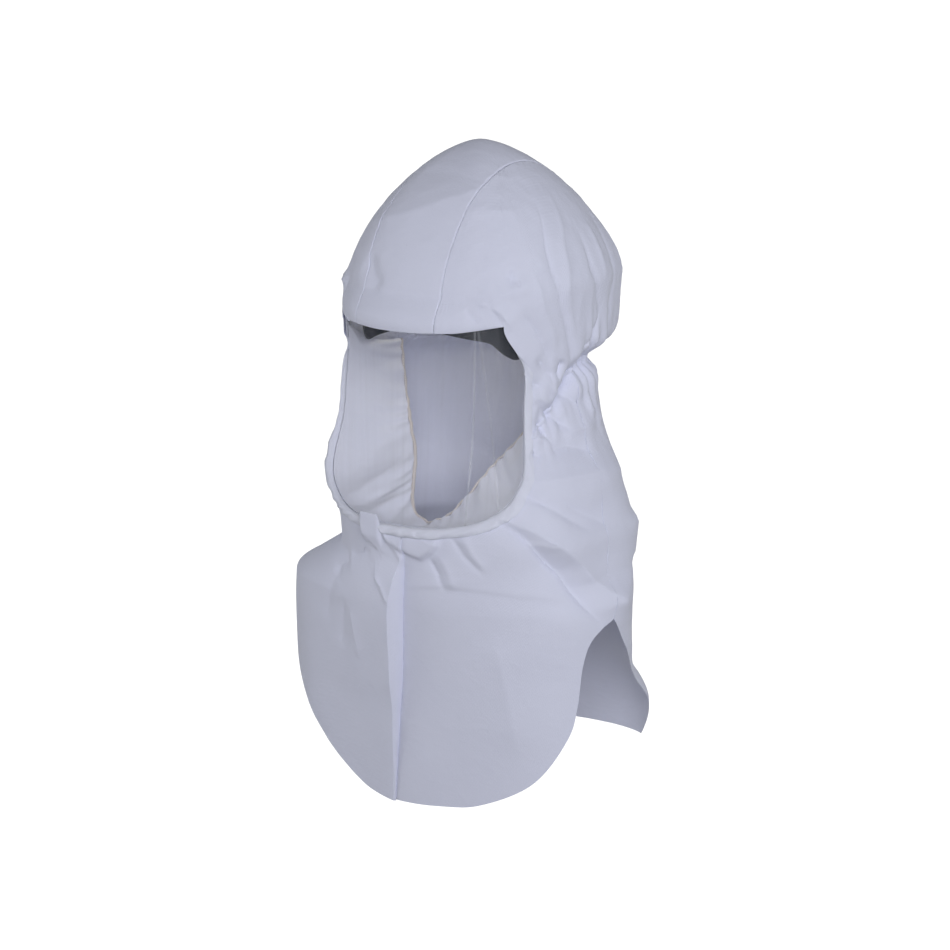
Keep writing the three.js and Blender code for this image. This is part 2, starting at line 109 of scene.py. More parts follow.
def column(rows, along, key, at):
    x, y = rows[along], rows[key]
    slope = np.diff(y) / np.diff(x)
    both = slope[:-1] * slope[1:]
    inner = np.where(both > 0, 2 * both / np.where(both > 0, slope[:-1] + slope[1:], 1), 0)
    tangent = np.concatenate([slope[:1], inner, slope[-1:]])
    at = np.clip(at, x[0], x[-1])
    i = np.clip(np.searchsorted(x, at) - 1, 0, len(x) - 2)
    span = x[i + 1] - x[i]
    return hermite((at - x[i]) / span, y[i], y[i + 1], span * tangent[i], span * tangent[i + 1])


# %% Sections of the hood
SECTIONS = table(
    "z mid front back right left",
    (-430, -15, 104, 128, 166, 162),
    (-300, -15, 106, 118, 166, 162),
    (-250, -11, 113, 111, 165, 161),
    (-236, -8, 116, 109, 146, 158),
    (-222, -5, 118, 107, 124, 155),
    (-210, -2, 121, 105, 107, 154),
    (-190, 0, 124, 104, 109, 156),
    (-150, 5, 128, 102, 128, 138),
    (-100, 13, 136, 98, 117, 110),
    (-72, 15, 138, 95, 115, 105),
    (-45, 16, 139, 117, 113, 108),
    (0, 17, 140, 132, 109, 110),
    (25, 17, 127, 132, 109, 113),
)
SQUARENESS = 2.15
DOME_WAIST, DOME_TOP, DOME_APEX_Y, DOME_ROUND = 25, 144, 12, 1.52
CROWN_HEART = np.array([0.0, 17.0, 10.0])
DEVELOP = 122
NAPE_ARC = math.pi * DEVELOP


def section(z):
    low = np.minimum(z, DOME_WAIST)
    climb = np.clip((z - DOME_WAIST) / (DOME_TOP - DOME_WAIST), 0, 1)
    shrink = (1 - climb ** DOME_ROUND) ** (1 / DOME_ROUND)
    form = {key: column(SECTIONS, "z", key, low) * shrink for key in ("front", "back", "right", "left")}
    form["mid"] = mix(column(SECTIONS, "z", "mid", low), DOME_APEX_Y, climb)
    return form


def oval(angle, side, depth):
    p = SQUARENESS
    return ((np.abs(np.sin(angle)) / side) ** p + (np.abs(np.cos(angle)) / depth) ** p) ** (-1 / p)


print("half width at the shoulder", section(np.array([-213.0]))["left"])

# %% [markdown]
# ## Gathers and folds
# The elastic draws the cloth in along a line that rises from the visor's side to the nape, and the spare
# width stands in ruffles on both sides of it. Away from the elastic the cloth falls in a few long folds.
# A simulation would give folds in other places than the photo, so each fold is a row of its own: its path
# over the cloth, how high it stands, how wide it is, and its profile. A roll is round, a crease has a sharp
# top, and a lap is high on one side of its path only, like cloth that falls over itself.

# %% The gather line and the ruffles on it
GATHER = table(
    "arc z draw",
    (120, -100, 3),
    (150, -78, 8),
    (180, -54, 13),
    (206, -46, 18),
    (240, -48, 20),
    (266, -49, 22),
    (384, -50, 18.5),
)
GATHER_NEAR, GATHER_START, ZIGZAG_SHARP = 11, 40, 0.96
RUFFLE_WAVES, RUFFLE_DEPTH, RUFFLE_ABOVE, RUFFLE_BELOW = 18, 2.4, 26, 30
SMALL_WAVES, SMALL_DEPTH, SMALL_ABOVE, SMALL_BELOW = 47, 2.6, 24, 22


def zigzag(phase):
    return np.arcsin(ZIGZAG_SHARP * np.cos(phase)) / math.asin(ZIGZAG_SHARP)


def gather_z(arc):
    return column(GATHER, "arc", "z", np.abs(arc))


def gather_draw(arc, z):
    height = z - gather_z(arc)
    away = np.abs(height)
    angle = arc / DEVELOP
    fade = np.where(height > 0, RUFFLE_ABOVE, RUFFLE_BELOW)
    uneven = 0.5 * np.sin(5 * angle + 1) + 0.3 * np.sin(11 * angle)
    wave = RUFFLE_DEPTH * zigzag(RUFFLE_WAVES * angle) * np.exp(-away / fade)
    small_fade = np.where(height > 0, SMALL_ABOVE, SMALL_BELOW)
    swing = 1 + 0.5 * np.sin(7 * angle + 2)
    small = swing * zigzag(SMALL_WAVES * angle + 4 * uneven + height / 22)
    small = SMALL_DEPTH * small * np.exp(-away / small_fade)
    begun = smoothstep(np.abs(arc), GATHER["arc"][0], GATHER["arc"][0] + GATHER_START)
    draw = column(GATHER, "arc", "draw", np.abs(arc)) * np.exp(-((height / GATHER_NEAR) ** 2))
    return begun * (draw + wave) + np.sqrt(begun) * small


print("the gather runs from z", float(gather_z(120.0)), "to", float(gather_z(384.0)))

# %% Profiles of a fold
LAP_EDGE, FOLD_FADE, FOLD_WIDTHS, FOLD_MARGIN = 1.1, 0.2, 4, 40


def roll(off, width):
    return np.exp(-((off / width) ** 2))


def crease(off, width):
    return np.exp(-np.abs(off) / width)


def lap(off, width):
    return np.exp(-np.maximum(off, 0) / width) / (1 + np.exp(-off / LAP_EDGE))


def along_path(path, arc, z):
    best = np.full(arc.shape, 1e9)
    off = np.zeros(arc.shape)
    share = np.zeros(arc.shape)
    points = np.array(path, float)
    runs = np.diff(points, axis=0)
    lengths = np.hypot(*runs.T)
    for k, (start, run, length) in enumerate(zip(points, runs, lengths)):
        a, b = arc - start[0], z - start[1]
        low = -1 if k == 0 else 0
        high = 2 if k == len(runs) - 1 else 1
        t = np.clip((a * run[0] + b * run[1]) / length ** 2, low, high)
        gap = np.hypot(a - t * run[0], b - t * run[1])
        side = np.where(a * run[1] - b * run[0] > 0, -1, 1)
        nearer = gap < best
        best = np.where(nearer, gap, best)
        off = np.where(nearer, side * gap, off)
        share = np.where(nearer, (lengths[:k].sum() + t * length) / lengths.sum(), share)
    return off, share


print("profiles", [f.__name__ for f in (roll, crease, lap)])

# %% Folds of the lobes, the shoulders and the bib
LOBE_FOLDS = [(roll, 20, 55, [(hand * 272, -335), (hand * 290, -460)]) for hand in (1, -1)]
LEDGE = [(105, -142), (118, -149), (131, -156), (141, -163), (152, -171), (162, -177)]
NOTCH = [(106, -175), (115, -184), (129, -202), (141, -214), (159, -239), (172, -256)]
SHOULDER_FOLDS = [
    (crease, 5, 14, [(106, -131), (131, -134), (151, -134), (182, -135), (233, -143)]),
    (lap, 3, 20, LEDGE[::-1]),
    (crease, -5, 7, LEDGE),
    (crease, -5, 14, [(146, -155), (167, -169), (191, -181), (227, -192)]),
    (crease, 9, 15, [
        (88, -160), (116, -172), (136, -186), (150, -200), (167, -219), (193, -244), (204, -258),
    ]),
    (crease, -9, 11, [(86, -160), *NOTCH]),
    (lap, 4, 60, [*NOTCH[::-1], (92, -164)]),
    (crease, 4, 10, [(193, -246), (208, -238), (230, -226)]),
    (crease, 2, 5, [(115, -184), (125, -186), (136, -189)]),
    (crease, 7, 36, [(236, -184), (236, -222)]),
    (roll, -8, 38, [(178, -160), (182, -200), (188, -236)]),
]
BIB_FOLDS = [
    (lap, 6, 45, [(1, -190), (14, -197), (22, -200), (32, -202), (42, -195), (46, -189), (48, -180)]),
    (lap, 4, 30, [(-27, -160), (-30, -173), (-30, -180), (-27, -188), (-18, -196), (-7, -201)]),
    (crease, 2.4, 2.5, [(-6, -180), (1, -190), (9, -198), (14, -207)]),
    (crease, -1.6, 2.5, [(15, -205), (14, -262), (11.2, -318), (8.4, -345), (1, -431)]),
    (crease, -3, 3, [(41, -203), (48, -214), (54, -226)]),
    (crease, 3, 8, [(50, -200), (57, -212), (62, -224)]),
    (crease, -2.4, 3, [(59, -182), (69, -196), (82, -209)]),
    (crease, 2.4, 4, [(68, -181), (75, -194), (84, -206)]),
    (lap, 1.6, 30, [(16, -231), (37, -228), (55, -225), (84, -226), (128, -232), (153, -239)]),
    (crease, 3, 18, [(101, -277), (109, -314), (117, -365)]),
    (crease, 2.4, 2.6, [(-13, -223), (-3, -231), (6, -243)]),
    (crease, -3, 8, [(-70, -231), (-64, -224), (-53, -218)]),
    (crease, 1.2, 5, [(-12, -221), (-13, -210), (-8, -201)]),
    (crease, -2, 6, [(-50, -213), (-24, -204)]),
    (crease, -2, 7, [(-54, -256), (-63, -293)]),
    (crease, -2, 9, [(-66, -229), (-80, -271)]),
    (crease, 1.6, 7, [(-44, -262), (-38, -300)]),
    (crease, 2.5, 3.5, [(-303, -61), (-304, -134), (-306, -205)]),
    (roll, 3, 24, [(-120, -250), (-105, -390)]),
]
print("folds of the lobes, shoulders and bib", len(LOBE_FOLDS) + len(SHOULDER_FOLDS) + len(BIB_FOLDS))

# %% Finer folds of the crown and the gather
CROWN_FOLDS = [
    (crease, -2.6, 4, [(169, -30), (154, 9), (143, 42), (143, 59), (150, 80)]),
    (crease, 2.2, 5, [(178, -28), (168, -7), (158, 23), (166, 61), (188, 93)]),
    (crease, -3.2, 4, [(190, -34), (212, -20), (219, -6), (212, 15), (202, 37), (203, 58)]),
    (crease, 2.4, 5, [(223, 31), (225, 51), (230, 72)]),
    (crease, -2.6, 5, [(250, -38), (246, 0), (252, 40), (262, 70)]),
    (crease, 2.6, 7, [(282, -38), (276, 10), (284, 60)]),
    (crease, -2.8, 6, [(315, -38), (322, 5), (318, 50)]),
    (crease, 2.2, 6, [(346, -38), (352, 0), (350, 40)]),
]
BROW_FOLDS = [
    (crease, 5, 20, [(-66, 78), (-17, 90), (31, 103), (77, 112)]),
    (crease, -2, 10, [(-40, 119), (26, 121), (74, 115)]),
    (roll, -4, 9, [(-43, 47), (-30, 35), (-21, 30)]),
    (crease, 2, 9, [(56, 94), (124, 93)]),
    (crease, -2, 4, [(96, 42), (108, 33)]),
    (crease, -1.8, 4, [(101, 46), (98, 35)]),
    (crease, 3.5, 11, [(77, 21), (96, 28), (114, 34)]),
    (crease, -2, 4, [(61, 15), (69, 5)]),
    (crease, -3, 5, [(78, 21), (90, 2)]),
    (crease, 2.5, 5, [(67, 24), (88, 13), (96, 2)]),
    (crease, 6, 7, [(-84, 25), (-98, 22), (-116, 26)]),
    (crease, -3, 6, [(110, 8), (128, -14), (140, -34)]),
    (crease, 3, 7, [(122, 40), (130, 10), (146, -24)]),
]
GATHER_FOLDS = [
    (crease, -4, 5, [(108, -38), (122, -53), (131, -58)]),
    (crease, -4, 5, [(126, -34), (146, -52)]),
    (crease, 4, 5, [(137, -51), (153, -69)]),
    (crease, -6, 6, [(158, -38), (153, -52)]),
    (crease, 3.5, 6, [(122, -64), (146, -74)]),
    (crease, -5, 5, [(133, -77), (156, -92), (166, -98)]),
    (crease, -5, 5, [(127, -87), (137, -101), (146, -114)]),
    (crease, 4, 5, [(123, -98), (136, -104), (146, -112)]),
    (crease, -3, 4, [(119, -112), (128, -117)]),
    (crease, -4, 6, [(145, -113), (162, -113), (186, -119)]),
    (crease, -3.5, 6, [(166, -70), (183, -78), (200, -81)]),
    (crease, 4, 6, [(208, -78), (206, -88), (232, -98)]),
    (crease, 4, 8, [(160, -101), (184, -101), (207, -100)]),
]
MIRROR_SHARE, MIRROR_SLIP = 0.8, 4


def mirrored(folds):
    return [
        (profile, MIRROR_SHARE * rise, width, [(-arc, z + MIRROR_SLIP) for arc, z in path[::-1]])
        for profile, rise, width, path in folds
    ]


FOLDS = LOBE_FOLDS + SHOULDER_FOLDS + BIB_FOLDS + CROWN_FOLDS + BROW_FOLDS + GATHER_FOLDS
FOLDS += mirrored(CROWN_FOLDS + GATHER_FOLDS + SHOULDER_FOLDS[:2])


def fold_rise(arc, z):
    rise = np.zeros(arc.shape)
    for profile, height, width, path in FOLDS:
        heights = [p[1] for p in path]
        margin = FOLD_WIDTHS * width + FOLD_MARGIN
        if z.min() > max(heights) + margin or z.max() < min(heights) - margin:
            continue
        off, share = along_path(path, arc, z)
        begun = smoothstep(share, -FOLD_FADE, FOLD_FADE)
        ended = smoothstep(share, 1 - FOLD_FADE, 1 + FOLD_FADE)
        rise += height * begun * (1 - ended) * profile(off, width)
    return rise


print("folds in all", len(FOLDS))

# %% [markdown]
# ## From a place to a point
# With the sections, the gather and the folds, each place on the cloth has one distance from the middle
# line. The pleat down the centre front is a slanted strip: the wearer's right half stands out along a
# ridge, and from there the cloth falls back to a crease on the left half. The crown closes over the top,
# where arcs run together, so its places are found along rays instead: each ray is halved again and again
# until it ends on the cloth.

# %% Points on the cloth
PLEAT = table(
    "z arc depth",
    (-431, 1, 3),
    (-345, 8.4, 13),
    (-318, 11.2, 20),
    (-262, 14, 25),
    (-228, 14.5, 19),
    (-205, 14.8, 6),
    (-185, 15, 2),
)
PLEAT_SPREAD, RIDGE_ASIDE, RIDGE_OUT = 70, 0.32, 0.54
HEM_SWAY, SWAY_WAVE, SWAY_FADE = 1.6, 21, (290, 430)


def pleat_arc(z):
    return column(PLEAT, "z", "arc", z)


def ridge_arc(z):
    return pleat_arc(z) - RIDGE_ASIDE * column(PLEAT, "z", "depth", z)


def pleat_rise(arc, z):
    ridge = ridge_arc(z)
    share = np.clip((pleat_arc(z) - arc) / (pleat_arc(z) - ridge), 0, 1)
    beyond = np.maximum(ridge - arc, 0)
    return RIDGE_OUT * column(PLEAT, "z", "depth", z) * share * np.exp(-beyond / PLEAT_SPREAD)


def reach(arc, z):
    angle = arc / DEVELOP
    form = section(z)
    side = np.where(np.sin(angle) > 0, form["left"], form["right"])
    depth = np.where(np.cos(angle) > 0, form["front"], form["back"])
    sway = HEM_SWAY * np.sin(arc / SWAY_WAVE + 0.6) * smoothstep(-z, *SWAY_FADE)
    return oval(angle, side, depth) - gather_draw(arc, z) + fold_rise(arc, z) + sway


def together(*parts):
    return np.stack(np.broadcast_arrays(*parts), -1)


def stand_out(r, arc, z, forward=0):
    y = section(z)["mid"] - r * np.cos(arc / DEVELOP) - forward
    return together(r * np.sin(arc / DEVELOP), y, z)


def on_cloth(arc, z, lift=0):
    arc, z = np.broadcast_arrays(np.asarray(arc, float), np.asarray(z, float))
    return stand_out(reach(arc, z) + lift, arc, z, pleat_rise(arc, z))


def arc_of(points):
    return np.arctan2(points[..., 0], section(points[..., 2])["mid"] - points[..., 1]) * DEVELOP


print("centre front at the chin", on_cloth(0.0, -176.0).round(1))

# %% Points on the crown
SEARCH_FAR, HALVINGS, UNDER_TOP = 300, 26, 0.01


def farthest(inside, shape):
    near, far = np.zeros(shape), np.full(shape, float(SEARCH_FAR))
    for _ in range(HALVINGS):
        half = (near + far) / 2
        fits = inside(half)
        near, far = np.where(fits, half, near), np.where(fits, far, half)
    return near


def cast_to_crown(start, way):
    def inside(distance):
        p = start + way * distance[..., None]
        z = np.minimum(p[..., 2], DOME_TOP - UNDER_TOP)
        out = np.hypot(p[..., 0], p[..., 1] - section(z)["mid"])
        return (p[..., 2] < DOME_TOP) & (out < reach(arc_of(p), z))

    return start + way * farthest(inside, way.shape[:-1])[..., None]


def unit(ways):
    return ways / np.maximum(np.linalg.norm(ways, axis=-1, keepdims=True), 1e-9)


def push_to_crown(points):
    return cast_to_crown(CROWN_HEART, unit(points - CROWN_HEART))


print("top of the crown", push_to_crown(np.array([[0.0, 15.0, 100.0]])).round(1))

# %% [markdown]
# ## Shader maths as plain expressions
# A material is a net of nodes, and long nets are hard to read. A small class that wraps a socket lets the
# maths be written as Python expressions: each operator adds one Math node. Colours go through a Mix node and
# vectors through Vector Math, and every node comes from one function with its settings and sockets.

# %% A socket that can be added and multiplied
def add_node(tree, kind, settings, sockets, out=0):
    node = tree.nodes.new(kind)
    for key, value in settings.items():
        setattr(node, key, value)
    for key, value in sockets.items():
        if isinstance(value, Wire):
            tree.links.new(value.socket, node.inputs[key])
        else:
            node.inputs[key].default_value = value
    return Wire(tree, node.outputs[out])


class Wire:
    def __init__(self, tree, socket):
        self.tree, self.socket = tree, socket

    def math(self, operation, *values):
        return add_node(self.tree, "ShaderNodeMath", {"operation": operation}, dict(enumerate(values)))

    def __add__(self, other):
        return self.math("ADD", self, other)

    def __sub__(self, other):
        return self.math("SUBTRACT", self, other)

    def __rsub__(self, other):
        return self.math("SUBTRACT", other, self)

    def __mul__(self, other):
        return self.math("MULTIPLY", self, other)

    def __pow__(self, other):
        return self.math("POWER", self, other)

    def __abs__(self):
        return self.math("ABSOLUTE", self)

    __radd__, __rmul__ = __add__, __mul__

    def sine(self):
        return self.math("SINE", self)

    def above(self, edge, soft):
        sockets = {"Value": self, "From Min": edge - soft, "From Max": edge + soft}
        return add_node(self.tree, "ShaderNodeMapRange", {"interpolation_type": "SMOOTHSTEP"}, sockets)


# %% A finish: one material with its shader
class Finish:
    def __init__(self, name, **fixed):
        self.material = bpy.data.materials.new(name)
        self.material.use_nodes = True
        self.tree = self.material.node_tree
        self.shader = self.tree.nodes["Principled BSDF"]
        for socket, value in fixed.items():
            self.input(socket).default_value = value

    def input(self, socket):
        return self.shader.inputs[socket.replace("_", " ")]

    def node(self, kind, settings, sockets, out=0):
        return add_node(self.tree, kind, settings, sockets, out)

    def feed(self, **wires):
        for socket, wire in wires.items():
            self.tree.links.new(wire.socket, self.input(socket))

    def weave(self):
        return self.node("ShaderNodeAttribute", {"attribute_name": "weave"}, {}, "Vector")

    def stretched(self, vector, by):
        return self.node("ShaderNodeVectorMath", {"operation": "MULTIPLY"}, {0: vector, 1: by})

    def grain(self, vector, scale, detail=3, roughness=0.55):
        sockets = {"Vector": vector, "Scale": scale, "Detail": detail, "Roughness": roughness}
        return self.node("ShaderNodeTexNoise", {}, sockets)

    def tint(self, share, first, second):
        sockets = {"Factor": share, 6: (*first, 1), 7: (*second, 1)}
        return self.node("ShaderNodeMix", {"data_type": "RGBA"}, sockets, 2)

    def parts(self, vector):
        return [self.node("ShaderNodeSeparateXYZ", {}, {"Vector": vector}, k) for k in range(2)]

    def relief(self, height, strength, distance):
        sockets = {"Height": height, "Strength": strength, "Distance": distance}
        self.feed(Normal=self.node("ShaderNodeBump", {}, sockets))


print("finishes use", Wire.__name__, "and", Finish.__name__)

# %% [markdown]
# ## The nonwoven cloth
# The cloth is spunbond: fine fibres pressed together at small points, matt and white with a cool lavender
# cast. A weave texture would be wrong, because nothing is woven. Noise stretched two ways gives the fibres,
# two sine waves give the pressed points, and a coarse noise folded at zero gives the faint dry creases that
# such cloth keeps. All of it follows an attribute that holds each point's place on the flat cloth, so the
# pattern bends with the folds. The turned tape is a little paler. The seal behind the film is a darker copy
# of the same cloth: painted shade for the hollow behind the film.

# %% Cloth finish
CREASED, POINTS_LONG, POINTS_SHORT = 0.35, 3400, 1700


def nonwoven(name, pale, deep):
    cloth = Finish(name, Sheen_Weight=0.15, Sheen_Roughness=0.5, IOR=1.4, Specular_IOR_Level=0.25)
    place = cloth.weave()
    long_fibres = cloth.grain(cloth.stretched(place, (1, 0.18, 1)), 900)
    cross_fibres = cloth.grain(cloth.stretched(place, (0.2, 1, 1)), 700)
    x, y = cloth.parts(place)
    points = (x * POINTS_LONG + y * POINTS_SHORT).sine() * (x * POINTS_SHORT - y * POINTS_LONG).sine()
    dry = 1 - abs(cloth.grain(place, 38, 4) - 0.5) * 2
    cloudy = cloth.grain(place, 16, 2)
    fibres = long_fibres * 0.5 + cross_fibres * 0.5
    cloth.feed(Base_Color=cloth.tint(cloudy * 0.55 + fibres * 0.45, deep, pale))
    cloth.feed(Roughness=0.68 + fibres * 0.2)
    cloth.relief(fibres * 0.35 + points * 0.12 + dry ** 6 * CREASED, 0.55, 0.0007)
    return cloth.material


CLOTH_FINISH = nonwoven("nonwoven_cloth", (0.79, 0.81, 0.95), (0.73, 0.75, 0.90))
TAPE_FINISH = nonwoven("turned_tape", (0.82, 0.84, 0.96), (0.76, 0.78, 0.91))
# The seal's finish is the same cloth in darker colours: painted shade for the hollow behind the film.
SEAL_SHADED_FINISH = nonwoven("seal_cloth_painted_shade", (0.75, 0.765, 0.87), (0.69, 0.705, 0.82))
print("cloth finishes", CLOTH_FINISH.name, TAPE_FINISH.name, SEAL_SHADED_FINISH.name)

# %% [markdown]
# ## A sheet from a grid of points
# Every panel is a grid of points on its outer face. The grid could go into a plane with a Solidify modifier,
# but a closed skin made at once keeps the edges clean: the same grid moved in along its normals, and a narrow
# rim between the two. Small wrinkles move the points along the normal too.

# %% Skins and wrinkles
CLOTH_THICK = 0.6


def normals_of(grid):
    return unit(np.cross(np.gradient(grid, axis=0), np.gradient(grid, axis=1)))


def raised(grid, heights):
    return grid + normals_of(grid) * heights[..., None]


def ridges(points, size, shift):
    spots = (points / size + shift).reshape(-1, 3).tolist()
    values = np.array([noise.noise(Vector(p)) for p in spots])
    return (1 - 2 * np.abs(values)).reshape(points.shape[:-1])


def wrinkles(points, *layers):
    return sum(height * ridges(points, size, shift) for height, size, shift in layers)


def skin_faces(rows, cols):
    at = np.arange(rows * cols).reshape(rows, cols)
    under = at + rows * cols

    def quads(a, b, c, d):
        return np.stack([a, b, c, d], -1).reshape(-1, 4)

    return np.concatenate([
        quads(at[:-1, :-1], at[1:, :-1], at[1:, 1:], at[:-1, 1:]),
        quads(under[:-1, :-1], under[:-1, 1:], under[1:, 1:], under[1:, :-1]),
        quads(at[:-1, 0], under[:-1, 0], under[1:, 0], at[1:, 0]),
        quads(at[1:, -1], under[1:, -1], under[:-1, -1], at[:-1, -1]),
        quads(at[0, 1:], under[0, 1:], under[0, :-1], at[0, :-1]),
        quads(at[-1, :-1], under[-1, :-1], under[-1, 1:], at[-1, 1:]),
    ]).tolist()


# %% Objects from points and faces
MM = 0.001
SHARP_RIM = math.radians(55)


def piece(name, points, faces, places, finish, node):
    mesh = bpy.data.meshes.new(name)
    mesh.from_pydata((points * MM).reshape(-1, 3).tolist(), [], faces)
    weave = mesh.attributes.new("weave", "FLOAT_VECTOR", "POINT")
    weave.data.foreach_set("vector", (places * MM).ravel())
    mesh.shade_smooth()
    mesh.set_sharp_from_angle(angle=SHARP_RIM)
    mesh.materials.append(finish)
    made = put(name, mesh)
    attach(made, "root")
    if node:
        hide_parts(node)
    print(name, len(mesh.vertices), "points,", len(faces), "faces")
    return made


def sheet_piece(name, grid, places, finish, node, thick=CLOTH_THICK):
    rows, cols = grid.shape[:2]
    points = np.stack([grid, grid - normals_of(grid) * thick])
    flat = np.concatenate([places, np.zeros((rows, cols, 1))], -1)
    return piece(name, points, skin_faces(rows, cols), np.stack([flat, flat]), finish, node)


def area_of(grid, digits=4):
    across = np.diff(grid, axis=1)[:-1]
    down = np.diff(grid, axis=0)[:, :-1]
    return round(float(np.linalg.norm(np.cross(down, across), axis=-1).sum()) * MM * MM, digits)


# %% [markdown]
# ## The crown
# A centre strip from brow to nape lies between two sewn seams, and a side panel runs from each seam down to
# the elastic. The strip is cast onto the crown row by row, and its last rows flare to meet the elastic at
# the nape. The side panels are cast in columns that start on the lower edge, because that edge turns a
# corner at the visor. Thread pulls a seam tight, so the cloth dips along it and puckers beside it, and the
# brow edge is a turned hem with a line of stitches above it.

# %% Seams of the crown
SEAM = table("turn half", (-6.3, 41), (90, 40), (208.5, 42))
SEAM_CLOSE, SEAM_LENGTH = 0.08, 430
GROOVE_DEEP, GROOVE_WIDE, PUCKER_HIGH, PUCKER_WIDE = 0.7, 0.8, 0.3, 5
HEM_TALL, HEM_STEP, STITCH_DROP = 22, 0.4, 2.5


def seam_place(hand, share, aside):
    turn = mix(SEAM["turn"][0], SEAM["turn"][-1], np.asarray(share, float))
    x = hand * (column(SEAM, "turn", "half", turn) + aside)
    way = together(0, -np.cos(np.radians(turn)), np.sin(np.radians(turn)))
    return cast_to_crown(together(x, *CROWN_HEART[1:]), way)


def seam_relief(away, along):
    groove = -GROOVE_DEEP * np.exp(-((away / GROOVE_WIDE) ** 2))
    uneven = np.sin(along / 13) + 0.6 * np.sin(along / 5.3 + 1)
    pucker = PUCKER_HIGH * np.sin(along / 1.6 + 2 * uneven) * np.exp(-away / PUCKER_WIDE)
    return groove + pucker * smoothstep(away, 0, 1.5)


def hem_relief(up):
    turned_in = HEM_STEP * smoothstep(-up, -HEM_TALL - 0.8, -HEM_TALL + 0.8)
    stitched = -0.35 * np.exp(-(((up - HEM_TALL + STITCH_DROP) / 0.9) ** 2))
    return turned_in + stitched - 0.9 * np.exp(-up / 1.6)


print("hem", HEM_TALL, "mm tall")

# %% Centre strip of the crown
STRIP_ROWS, STRIP_COLS, STRIP_WIDTH, END_DENSE = 200, 48, 82, 0.8
NAPE_ROWS, NAPE_TURN, SIDE_NAPE, UNDER_CASING = 6, 0.02, 16, 0.4


def turned(arc):
    return np.where(arc > NAPE_ARC, arc - 2 * NAPE_ARC, arc)


def closer_at_ends(count):
    s = np.linspace(0, 1, count)
    return s - END_DENSE * np.sin(2 * np.pi * s) / (2 * np.pi)


share = np.linspace(0, 1, STRIP_ROWS)
u = closer_at_ends(STRIP_COLS)
left_seam, right_seam = (seam_place(hand, share, -SEAM_CLOSE) for hand in (1, -1))
strip = push_to_crown(mix(left_seam[:, None], right_seam[:, None], u[:, None]))
first_end = arc_of(left_seam[-1]) - SIDE_NAPE
last_end = 2 * NAPE_ARC + arc_of(right_seam[-1]) + SIDE_NAPE
arcs = turned(mix(first_end, last_end, u))
foot = on_cloth(arcs, gather_z(arcs) + UNDER_CASING)
t = np.linspace(0, 1, NAPE_ROWS + 1)[1:]
strip = np.concatenate([strip, push_to_crown(mix(strip[-1], foot, t[:, None, None]))])
strip[-1] = foot
along = np.concatenate([share, 1 + t * NAPE_TURN])[:, None] * SEAM_LENGTH
away = np.minimum(u, 1 - u)[None] * STRIP_WIDTH
small = wrinkles(strip, (0.35, 26, 3.1), (0.2, 11, 7.7))
strip = raised(strip, seam_relief(away, along) + hem_relief(along) + small)
places = together(u[None] * STRIP_WIDTH, along)
crown_strip = sheet_piece("crown_strip", strip, places, CLOTH_FINISH, "crown_gusset")

# %% Edge of the face window
WINDOW_HEM, WINDOW_HALF, WINDOW_FULL = 92, 114, -45
WINDOW_SPRING, WINDOW_FOOT, WINDOW_POWER, WINDOW_HEART = -100, -176, 3, -70
WINDOW_STEPS, TAPE_WIDTH, COVERED = 170, 8, (24, 46)
CLOTH_UNDER, CLOTH_AT_BROW, SIDE_ARC = 1.5, -0.6, 188


def window_half(z, grow):
    full = smoothstep(-z, 0, -WINDOW_FULL)
    half = mix(WINDOW_HEM, WINDOW_HALF, full) + grow
    drop = np.clip((WINDOW_SPRING - z) / (WINDOW_SPRING - WINDOW_FOOT + grow), 0, 1)
    return half * (1 - drop ** WINDOW_POWER) ** (1 / WINDOW_POWER)


def window_edge(grow, grow_at_brow=None):
    at_brow = grow if grow_at_brow is None else grow_at_brow
    turn = np.linspace(0, math.atan2(WINDOW_HEM + at_brow, WINDOW_HEART), WINDOW_STEPS + 1)
    aside, up = np.sin(turn), -np.cos(turn)

    def inside(distance):
        z = WINDOW_HEART + distance * up
        return distance * aside < window_half(z, mix(at_brow, grow, smoothstep(-z, *COVERED)))

    distance = farthest(inside, turn.shape)
    distance[0] = WINDOW_HEART - WINDOW_FOOT + grow
    return together(distance * aside, WINDOW_HEART + distance * up)


def both_sides(edge):
    return np.concatenate([(edge * (-1, 1))[::-1], edge[1:]])


def step_above(edge, z):
    return int(np.argmax(edge[:, 1] > z))


CLOTH_EDGE = window_edge(TAPE_WIDTH - CLOTH_UNDER, CLOTH_AT_BROW)
GATHER_STEP = step_above(CLOTH_EDGE, WINDOW_SPRING)
print("window edge from", CLOTH_EDGE[0].round(1), "to", CLOTH_EDGE[-1].round(1))

# %% Side panels of the crown
HANDS = ((1, "left"), (-1, "right"))
SIDE_DOWN, HEM_STEPS, GATHER_STEPS = 130, 40, 140
SIDE_START, CORNER_SHARE, SIDE_LEAN, HEM_ENDS = 14, 0.36, 1.5, (-8, 4)


def run(first, last, count):
    return mix(np.array(first), np.array(last), np.linspace(0, 1, count)[:, None])


def run_length(points):
    steps = np.linalg.norm(np.diff(points, axis=0), axis=-1)
    return np.concatenate([0 * steps[:1], np.cumsum(steps, axis=0)])


